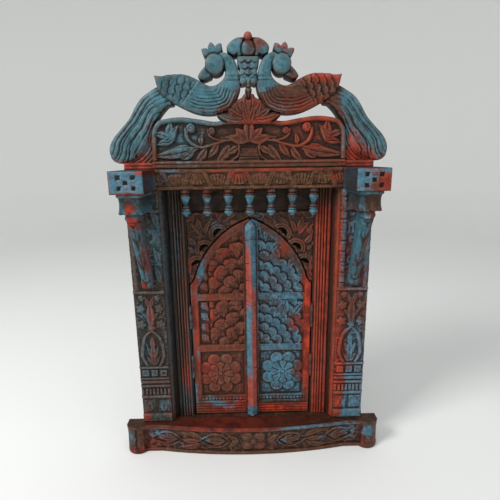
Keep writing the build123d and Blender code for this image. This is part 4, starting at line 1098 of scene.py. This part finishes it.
for side, name in bothSides:
    box = sideBox(side, columnInner, columnOuter, sillTop, lintelFoot)
    if side < 0:
        columnLook = {
            "slot": "brown_timber", "cavityDepth": 1.3,
            "material": paintedTimber("leftColumnPaint", blueDark="#1f3e47", blueLight="#447280",
                                      woodDark="#221d17", woodLight="#4a3d30"),
            "blue": 0.24, "red": 0.05,
            # the spot across -198, up 500 tints the column beside the strut with the column's dark blue, a
            # painted shadow of the strut
            "blueSpots": [
                (-238, 345, 14, 30, 0.35), (-236, 265, 12, 40, 0.3), (-198, 500, 12, 80, 0.5),
                (-205, 110, 16, 20, 0.3), (-228, 196, 30, 12, 0.25),
            ],
            "redSpots": [(-219, 335, 9, 40, 0.55), (-220, 250, 9, 40, 0.45), (-245, 90, 12, 24, 0.5),
                         (-192, 110, 8, 40, 0.4)],
        }
    else:
        columnLook = {
            "slot": "blue_timber", "cavityDepth": 1.3, "material": paintedTimber("rightColumnPaint"),
            "blue": 0.5, "red": 0.25,
            "blueSpots": [
                (196, 240, 12, 130, -0.8), (192, 130, 12, 60, -0.9), (220, 345, 26, 40, -0.35),
                (225, 110, 22, 30, 0.3), (226, 265, 14, 30, 0.35), (186, 500, 5, 90, -0.9),
                (225, 180, 40, 12, 0.2), (248, 330, 8, 60, -0.3),
            ],
            "redSpots": [
                (196, 200, 12, 130, 0.65), (187, 480, 4, 110, 0.6), (206, 470, 8, 60, 0.3),
                (240, 420, 14, 40, 0.2),
            ],
        }
    carve(name + "ColumnCarving", box, 1.4, columnSurface, columnLook, None, 0.0,
          stoodFor=(name + "_column",))


# Jambs: reeds, bead and splayed reveal

def jambSurface(x, z, edge):
    ax = np.abs(x)
    out = np.interp(ax, [136.4, 139.5, 163.5, 173.5, 186], [22, 22, 22, 23, 41])
    for number in range(4):
        reed = 22 + 5 * bead(ax - 142.5 - 6 * number, 3.05)
        out = np.maximum(out, np.where((ax > 139.5) & (ax < 163.5), reed, 0))
    out = np.maximum(out, np.where(np.abs(ax - 168.5) < 5, 22.5 + 3.6 * bead(ax - 168.5, 5), 0))
    wander = 0.5 * hashNoise(x * 3, z * 0.2, 10, 71) + 0.25 * hashNoise(x, z, 3, 72)
    return out + wander - 0.8 * roundOff(edge, 2)


for side, name in bothSides:
    box = sideBox(side, openingHalf, columnInner, sillTop, lintelFoot)
    if side < 0:
        # the left jamb's wood and blue are dark copies of the timber's colours, and the spot along the splay
        # paints it dark teal: painted shade of the column's shadow on the jamb
        jambLook = {
            "slot": "brown_timber", "cavityDepth": 1.6,
            "material": paintedTimber("leftJambPaint", blueDark="#172c33", blueLight="#2b4c57",
                                      woodDark="#14100c", woodLight="#2f241c"),
            "blue": 0.16, "red": 0.05, "redSpots": [(-146, 300, 10, 200, 0.25), (-150, 150, 16, 70, 0.4)],
            "blueSpots": [
                (-180, 400, 8, 230, 0.6), (-158, 480, 10, 90, 0.35), (-140, 200, 5, 120, 0.4),
                (-156, 120, 12, 50, 0.5),
            ],
        }
    else:
        jambLook = {
            "slot": "red_timber", "cavityDepth": 1.6,
            "material": paintedTimber("rightJambPaint", woodLight="#56301f"),
            "blue": -0.1, "red": 0.62, "blueSpots": [(168, 200, 5, 120, 0.45), (168, 430, 5, 60, 0.4)],
            "redSpots": [(181, 340, 6, 300, -0.2), (160, 592, 40, 26, -0.5), (143, 360, 4, 200, -0.2)],
        }
    carve(name + "JambCarving", box, 1.25, jambSurface, jambLook, None, 0.0, stoodFor=(name + "_jamb",))
    stop = sideBox(side, 128.4, openingHalf, sillTop, lintelFoot)
    carve(name + "StopCarving", stop, 4.0, lambda x, z, edge: np.full(x.shape, 3.4), jambLook, None, 0.0)


# Turned pendants under the lintel

pendantProfile = [
    (605, 8.6), (603, 9.4), (600.5, 9.8), (598.6, 9.0), (597.6, 6.4), (596.4, 6.4), (595.4, 8.8),
    (593.6, 9.6), (591.8, 8.6), (591, 9.6), (589.4, 10), (587.6, 9.2), (586, 8.2), (577, 5.6), (571, 4.9),
    (570, 6.4), (568.6, 7.4), (567.2, 7.4), (566.2, 6), (565.4, 7.2), (564, 8), (562.6, 7.2), (561.8, 5.6),
    (560.8, 7.4), (558.6, 8.8), (556, 8.2), (554, 6), (552.6, 4.6), (550.6, 4.2), (550, 2.4),
]
pendantLook = {
    "slot": "blue_timber", "material": paintedTimber("pendantPaint", blueDark="#335d6b", blueLight="#568c9e"),
    "blue": 0.62, "red": 0.3,
    # the wide spot at height 603 takes blue off the tops of the pendants and darkens them, a painted shadow
    # of the lintel
    "blueSpots": [(0, 594.5, 400, 2.0, -0.9), (0, 567, 400, 2.0, -0.7), (0, 603, 400, 6, -0.45),
                  (-90, 598, 14, 8, -0.8)],
}
rings = curveThrough([(r, level) for level, r in pendantProfile], 2)
angles = np.linspace(0, 2 * pi, 28, endpoint=False)
hollow = np.clip((rings[:, 0] - blurred(rings[:, :1], 2)[:, 0]) / 2.2, -0.7, 0.7)
hollow = np.repeat(hollow[:, None], len(angles), axis=1)
for number in range(7):
    across = (number - 3) * 44 + rings[:, :1] * np.cos(angles)
    out = 36 - rings[:, :1] * np.sin(angles)
    up = np.repeat(rings[:, 1:], len(angles), axis=1)
    stoodFor = ("pendants",) if number == 0 else ()
    sweepGrid("pendant" + str(number + 1), across, up, out, pendantLook, True, hollow, stoodFor)


# Struts and capitals

strutFront = curveThrough([(124, 567), (126, 556), (120, 545), (110, 528), (92, 492), (74, 455), (58, 424),
                           (56, 408), (50, 399), (42, 398)], 8)
strutBack = curveThrough([(90, 567), (86, 556), (80, 536), (70, 506), (60, 478), (50, 452), (46, 444),
                          (44, 430), (43, 415), (42, 398)], 8)


def strutSkin(side, name, look, stoodFor):
    rows = len(strutFront)
    lanes = np.linspace(-1, 1, 21)
    share = np.linspace(0, 1, rows)
    headSwell, footSwell = np.exp(-((share - 0.07) / 0.06) ** 2), np.exp(-((share - 0.9) / 0.06) ** 2)
    half = 11.8 + 1.6 * headSwell + 1.2 * footSwell - 0.8 * np.sin(share * pi)
    half = half * np.sqrt(np.clip(1 - (np.clip(share - 0.9, 0, 1) / 0.104) ** 2, 0.02, 1))
    grooves = 5.5 * roundOff(np.abs(lanes) - 1, 0.75)
    middle = (share > 0.2) & (share < 0.84)
    spine = cut(lanes, 0.2)[None, :] * middle[:, None]
    lean = (share[:, None] * 6 + 0.5 * np.abs(lanes)[None, :]) % 1
    nicks = cut(lean - 0.5, 0.2) * middle[:, None] * (np.abs(lanes)[None, :] < 0.72)
    collars = np.maximum(cut(share - 0.17, 0.025), cut(share - 0.87, 0.02))[:, None]
    collars = collars + 0.6 * cut(np.abs(lanes) - 0.74, 0.1)[None, :] * middle[:, None]
    direction = np.gradient(strutFront, axis=0)
    direction /= np.hypot(*direction.T)[:, None]
    depth = grooves[None, :] + 1.0 * spine + 1.5 * nicks + 1.6 * collars
    frontOut = strutFront[:, :1] + depth * direction[:, 1:]
    frontUp = strutFront[:, 1:] - depth * direction[:, :1]
    frontAcross = side * columnMiddle + half[:, None] * lanes[None, :]
    backLanes = lanes[::-1]
    backAcross = side * columnMiddle + half[:, None] * backLanes[None, :]
    backOut = np.repeat(strutBack[:, :1], len(lanes), axis=1)
    backUp = np.repeat(strutBack[:, 1:], len(lanes), axis=1)
    hollowFront = np.clip(0.3 - (depth - grooves[None, :]) / 1.2, -1, 1)
    hollow = np.hstack([hollowFront, np.zeros(backAcross.shape)])
    sweepGrid(
        name, np.hstack([frontAcross, backAcross]), np.hstack([frontUp, backUp]),
        np.hstack([frontOut, backOut]), look, True, hollow, stoodFor)


def capitalSkin(side, name, look, stoodFor):
    levels = np.array([605, 601.5, 599.5, 598, 595, 590, 584, 578, 574, 571, 569, 567.6, 567])
    frontEdge = np.array([137, 137.5, 136.5, 133.5, 132, 131, 130.5, 130.5, 131, 131.5, 131.5, 130.5, 128])
    halfWidth = np.array([22.6, 23, 22.4, 20.8, 20.2, 20, 20.2, 20.8, 21.6, 22.4, 22.8, 22.4, 21])
    frontCount, sideCount = 44, 10
    around = frontCount + 2 * sideCount
    rowsUp = np.repeat(levels[:, None], around, axis=1)
    front = np.linspace(-1, 1, frontCount)
    sideRun = np.linspace(0, 1, sideCount + 2)[1:-1]
    across, out = [], []
    for edge, half, level in zip(frontEdge, halfWidth, levels):
        scallop = -5 * bead((front * 1.5 + 0.5) % 1 - 0.5, 0.2) * smoothStep(574, 568, np.array(level))
        corner = 7 * roundOff(np.abs(front) - 1, 0.3)
        frontX = half * front
        frontY = edge + scallop - corner
        rightY = frontY[-1] + (42 - frontY[-1]) * sideRun
        leftY = 42 + (frontY[0] - 42) * sideRun
        across.append(np.concatenate([frontX, np.full(sideCount, half), np.full(sideCount, -half)]))
        out.append(np.concatenate([frontY, rightY, leftY]))
    across, out = side * columnMiddle + np.array(across), np.array(out)
    bulge = halfWidth - blurred(halfWidth[:, None], 1)[:, 0]
    hollow = np.repeat(np.clip(bulge, -1, 1)[:, None], around, axis=1)
    sweepGrid(name, across, rowsUp, out, look, True, hollow, stoodFor)


for side, name in bothSides:
    strutLook = {
        "slot": "blue_timber", "blue": 0.6, "red": 0.3,
        "material": paintedTimber(name + "StrutPaint", blueDark="#2a4a54", blueLight="#467684"),
        "blueSpots": [(-220, 552, 9, 9, -1.1), (-226, 405, 6, 6, -0.8), (-214, 470, 6, 40, -0.3)],
        "redSpots": [(-220, 552, 10, 10, 0.8), (-226, 405, 7, 7, 0.8), (-208, 460, 5, 50, 0.3)],
    }
    capitalLook = dict(strutLook, blueSpots=[(-221, 578, 6, 9, -1.0)], redSpots=[(-221, 578, 7, 10, 0.8)])
    if side > 0:
        strutLook.update(
            blueSpots=[(232, 556, 9, 9, -0.7), (230, 470, 8, 50, -0.4), (212, 520, 6, 30, 0.3)], redSpots=[],
            paleSpots=[(218, 556, 8, 8, 0.6)])
        capitalLook.update(
            blue=0.05, red=0.1, blueSpots=[(204, 590, 9, 30, 0.6), (220, 602, 40, 4, 0.5)], redSpots=[])
    strutSkin(side, name + "StrutCarving", strutLook, (name + "_strut",))
    capitalSkin(side, name + "CapitalCarving", capitalLook, (name + "_capital",))


# Sill: bowed beam with horns

sillHalf = startBox[1].x * 1000
sillHornStart = sillHalf - 45


def sillPlan():
    waist = sillHornStart - 36
    right = arcThrough((sillHornStart, 57), (sillHalf - 22.5, 66), (sillHalf, 48.5), 22)
    bow = arcThrough((-waist, 57), (0, 76), (waist, 57), 190)
    straight = np.column_stack([np.linspace(waist, sillHornStart, 18)[1:-1], np.full(16, 57.0)])
    half = np.vstack([straight, right])
    return np.vstack([mirrored(half), bow, half])


def sillRelief(x, z):
    ax = np.abs(x)
    out = np.full(x.shape, -4.8) + 0.6 * hashNoise(x, z, 7, 81) + 0.4 * hashNoise(x, z, 2.8, 82)
    out += 2.2 * cut(hashNoise(x, z, 11, 86), 0.28)
    for root, tip, wide, bend in (
            ((118, 40), (172, 53), 13, -5), ((118, 28), (172, 15), 13, 5), ((32, 36), (58, 52), 11, 3),
            ((32, 34), (58, 18), 11, -3), ((120, 34), (166, 34), 12, 2), ((226, 34), (243, 50), 9, 0),
            ((226, 34), (243, 18), 9, 0), ((52, 35), (126, 35), 40, 0), ((166, 35), (236, 35), 40, 0)):
        shape = leaf(ax, z, root, tip, wide, bend)
        out = np.where(shape > 0, np.maximum(out, -4.4 + 4.2 * shape), out)
    for centre, half in ((89, 34), (201, 33)):
        almond = leaf(ax, z, (centre - half, 35), (centre + half, 35), 30, 0, vein=0)
        out = np.where(almond > 0, -4.8 + 0.4 * hashNoise(x, z, 5, 85), out)
        for root, tip, wide in (((centre - 26, 35), (centre + 22, 35), 13),
                                ((centre - 22, 36), (centre + 4, 47), 9),
                                ((centre - 22, 34), (centre + 4, 23), 9),
                                ((centre - 2, 37), (centre + 22, 43), 8)):
            shape = leaf(ax, z, root, tip, wide)
            out = np.where(shape > 0, np.maximum(out, -4.6 + 4.6 * shape), out)
    for cx, cz in ((-14, 45), (14, 45), (-14, 25), (14, 25)):
        away = np.hypot((x - cx) / 1.15, z - cz)
        out = np.where(away < 12, np.maximum(out, -4 + 4.2 * bead(away, 12) - 1.2 * cut(away - 6, 1.4)), out)
    out = np.where(np.hypot(x, z - 35) < 7, -1.6 + 2.4 * bead(np.hypot(x, z - 35), 7), out)
    out = np.where(z > 60, -0.4 - 0.9 * cut(z - 61, 1.4) - 0.4 * cut(z - 65.5, 1.0), out)
    out = np.where(z < 8, -1.0, out)
    horn = smoothStep(sillHornStart, sillHornStart + 6, ax)
    plain = -0.6 - 1.8 * np.sin(np.clip((z - 8) / 62, 0, 1) * pi) + 0.4 * hashNoise(x, z, 9, 83)
    crack = cut(x + sillHalf - 24 + 1.5 * np.sin(z * 0.3), 2.0) * (z > 12) * (z < 64)
    out = out * (1 - horn) + plain * horn - 5 * crack
    return out - 1.8 * roundOff(z - 70, 4) - 1.2 * roundOff(-z, 4)


def sillSkin():
    plan = sillPlan()
    levels = np.linspace(0, 70, 58)
    normal = np.gradient(plan, axis=0)
    normal /= np.hypot(*normal.T)[:, None]
    across = np.repeat(plan[None, :, 0], len(levels), axis=0)
    up = np.repeat(levels[:, None], len(plan), axis=1)
    push = sillRelief(across, up)
    frontX = across + push * -normal[None, :, 1]
    frontT = plan[None, :, 1] + push * normal[None, :, 0]
    cavity = np.clip((push - blurred(push, 2)) / 1.1, -1, 1) - 0.3 * (across < -sillHornStart)
    depthBack = np.where(np.abs(plan[:, 0]) > 254, 31.0, 0.0)
    shares = np.linspace(0, 1, 16)[1:, None]
    topT = frontT[-1:] + (depthBack[None, :] - frontT[-1:]) * shares
    topX = np.repeat(frontX[-1:], len(shares), axis=0)
    topZ = 69.6 + 0.4 * hashNoise(topX, topT, 20, 84)
    bottomT = frontT[:1] + (depthBack[None, :] - frontT[:1]) * np.array([[1.0]])
    gridX = np.vstack([frontX[:1], frontX, topX, frontX[:1]])
    gridT = np.vstack([bottomT, frontT, topT, bottomT])
    gridZ = np.vstack([np.zeros((1, len(plan))), up, topZ, np.zeros((1, len(plan)))])
    shade = np.vstack([np.zeros((1, len(plan))), cavity, np.full(topX.shape, -0.42),
                       np.zeros((1, len(plan)))])
    sweepGrid("sillCarving", gridX, gridZ, gridT, sillLook, False, shade, ("sill",))


sillLook = {
    "slot": "red_timber", "bareBehind": 32,
    "material": paintedTimber("sillPaint", "across", redDark="#45140c", redLight="#93301e",
                              woodLight="#6a4530"),
    "blue": -0.12, "red": 0.2,
    "blueSpots": [
        (110, 66, 100, 6, 0.85), (-281, 42, 9, 22, 0.85), (215, 45, 36, 20, 0.45), (-200, 50, 40, 16, 0.45),
        (268, 45, 16, 24, 0.85), (80, 38, 24, 14, 0.3), (-60, 30, 30, 10, 0.25), (0, 70, 500, 0.7, -1.6),
        (-110, 40, 18, 14, 0.5), (60, 30, 16, 12, 0.5), (160, 30, 20, 14, 0.45), (-170, 24, 26, 12, 0.4),
        (110, 44, 18, 10, 0.4), (230, 24, 14, 14, 0.4), (-228, 46, 26, 18, 0.4), (236, 52, 18, 14, 0.3),
    ],
    "redSpots": [
        (-80, 66, 130, 7, 0.7), (-246, 30, 14, 40, 0.5), (-272, 6, 24, 10, 0.8), (252, 30, 10, 30, 0.5),
        (-220, 30, 20, 30, 0.4), (30, 22, 40, 8, 0.3), (-150, 30, 30, 14, 0.3), (282, 20, 10, 16, 0.4),
        (0, 70, 260, 0.7, 0.4), (-276, 44, 14, 26, -0.5),
    ],
}
sillSkin()

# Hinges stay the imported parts, in painted iron
hingeIron = {"left": rustedIron("leftHingeIron", "#3d4c50"), "right": rustedIron("rightHingeIron", "#5f3229")}
for name, part in nodes.items():
    if "hinge" in name:
        part.data.materials.clear()
        part.data.materials.append(hingeIron[name.split("_")[0]])
print("painted hinges")


# Stage: a pale bowl for floor and backdrop, soft lights and the photo's camera

def makeStage():
    radii = [0.0, 1.0, 2.0, 3.0, 3.4, 3.75, 3.95, 4.0, 4.0]
    heights = [0.0, 0.0, 0.0, 0.0, 0.06, 0.24, 0.55, 1.0, 3.6]
    count, sunk = 64, 0.0006  # sides of the bowl, and how far it lies under the sill
    around = np.linspace(0, 2 * pi, count, endpoint=False)
    verts, faces = [], []
    for r, h in zip(radii, heights):
        verts += [(r * cos(a), r * sin(a), h - sunk) for a in around]
    for row in range(len(radii) - 1):
        for k in range(count):
            n = (k + 1) % count
            faces.append((row * count + k, row * count + n, (row + 1) * count + n, (row + 1) * count + k))
    mesh = bpy.data.meshes.new("stageBowl")
    mesh.from_pydata(verts, [], faces)
    mesh.polygons.foreach_set("use_smooth", [True] * len(mesh.polygons))
    pale = bpy.data.materials.new("stagePale")
    pale.use_nodes = True
    pale.node_tree.nodes["Principled BSDF"].inputs["Base Color"].default_value = linearColour("#f0f0ee")
    pale.node_tree.nodes["Principled BSDF"].inputs["Roughness"].default_value = 0.9
    mesh.materials.append(pale)
    bowl = bpy.data.objects.new("stageBowl", mesh)
    bpy.context.scene.collection.objects.link(bowl)


def addLight(name, place, target, size, power):
    data = bpy.data.lights.new(name, "AREA")
    data.size, data.energy = size, power
    lamp = bpy.data.objects.new(name, data)
    lamp.location = place
    lamp.rotation_euler = (Vector(target) - Vector(place)).to_track_quat("-Z", "Y").to_euler()
    bpy.context.scene.collection.objects.link(lamp)


studioLights = {  # place and target in metres, size in metres, power in watts
    "keyLight": ((-1.9, -1.25, 2.35), (0, 0, 0.5), 0.9, 64),
    "fillLight": ((1.6, -1.6, 1.2), (0, 0, 0.4), 1.6, 6),
    "topLight": ((0.1, -0.3, 2.6), (0, 0, 0.5), 1.4, 9),
}
makeStage()
for name, values in studioLights.items():
    addLight(name, *values)
world = bpy.data.worlds.new("studio")
world.use_nodes = True
world.node_tree.nodes["Background"].inputs["Color"].default_value = linearColour("#dfe3e6")
world.node_tree.nodes["Background"].inputs["Strength"].default_value = 0.54
bpy.context.scene.world = world
bpy.context.scene.view_settings.view_transform = "Standard"

photoView = {  # the photo's own view: its focal length in pixels, turns in degrees and place in metres
    "focalPixels": 385, "picturePixels": 500, "sensor": 36,
    "pitch": 13.3, "yaw": 0.97, "roll": -0.77, "place": (-0.0145, -0.759, 0.664),
}
lens = bpy.data.cameras.new("photoCamera")
lens.sensor_width = photoView["sensor"]
lens.lens = photoView["focalPixels"] / photoView["picturePixels"] * photoView["sensor"]
camera = bpy.data.objects.new("photoCamera", lens)
pitch, yaw, roll = radians(photoView["pitch"]), radians(photoView["yaw"]), radians(photoView["roll"])
ahead = Vector((sin(yaw) * cos(pitch), cos(yaw) * cos(pitch), -sin(pitch)))
camera.rotation_mode = "QUATERNION"
camera.rotation_quaternion = ahead.to_track_quat("-Z", "Y") @ Matrix.Rotation(roll, 3, "Z").to_quaternion()
camera.location = photoView["place"]
lens.clip_start, lens.clip_end = 0.01, 50
bpy.context.scene.collection.objects.link(camera)
bpy.context.scene.camera = camera
print("set the stage")
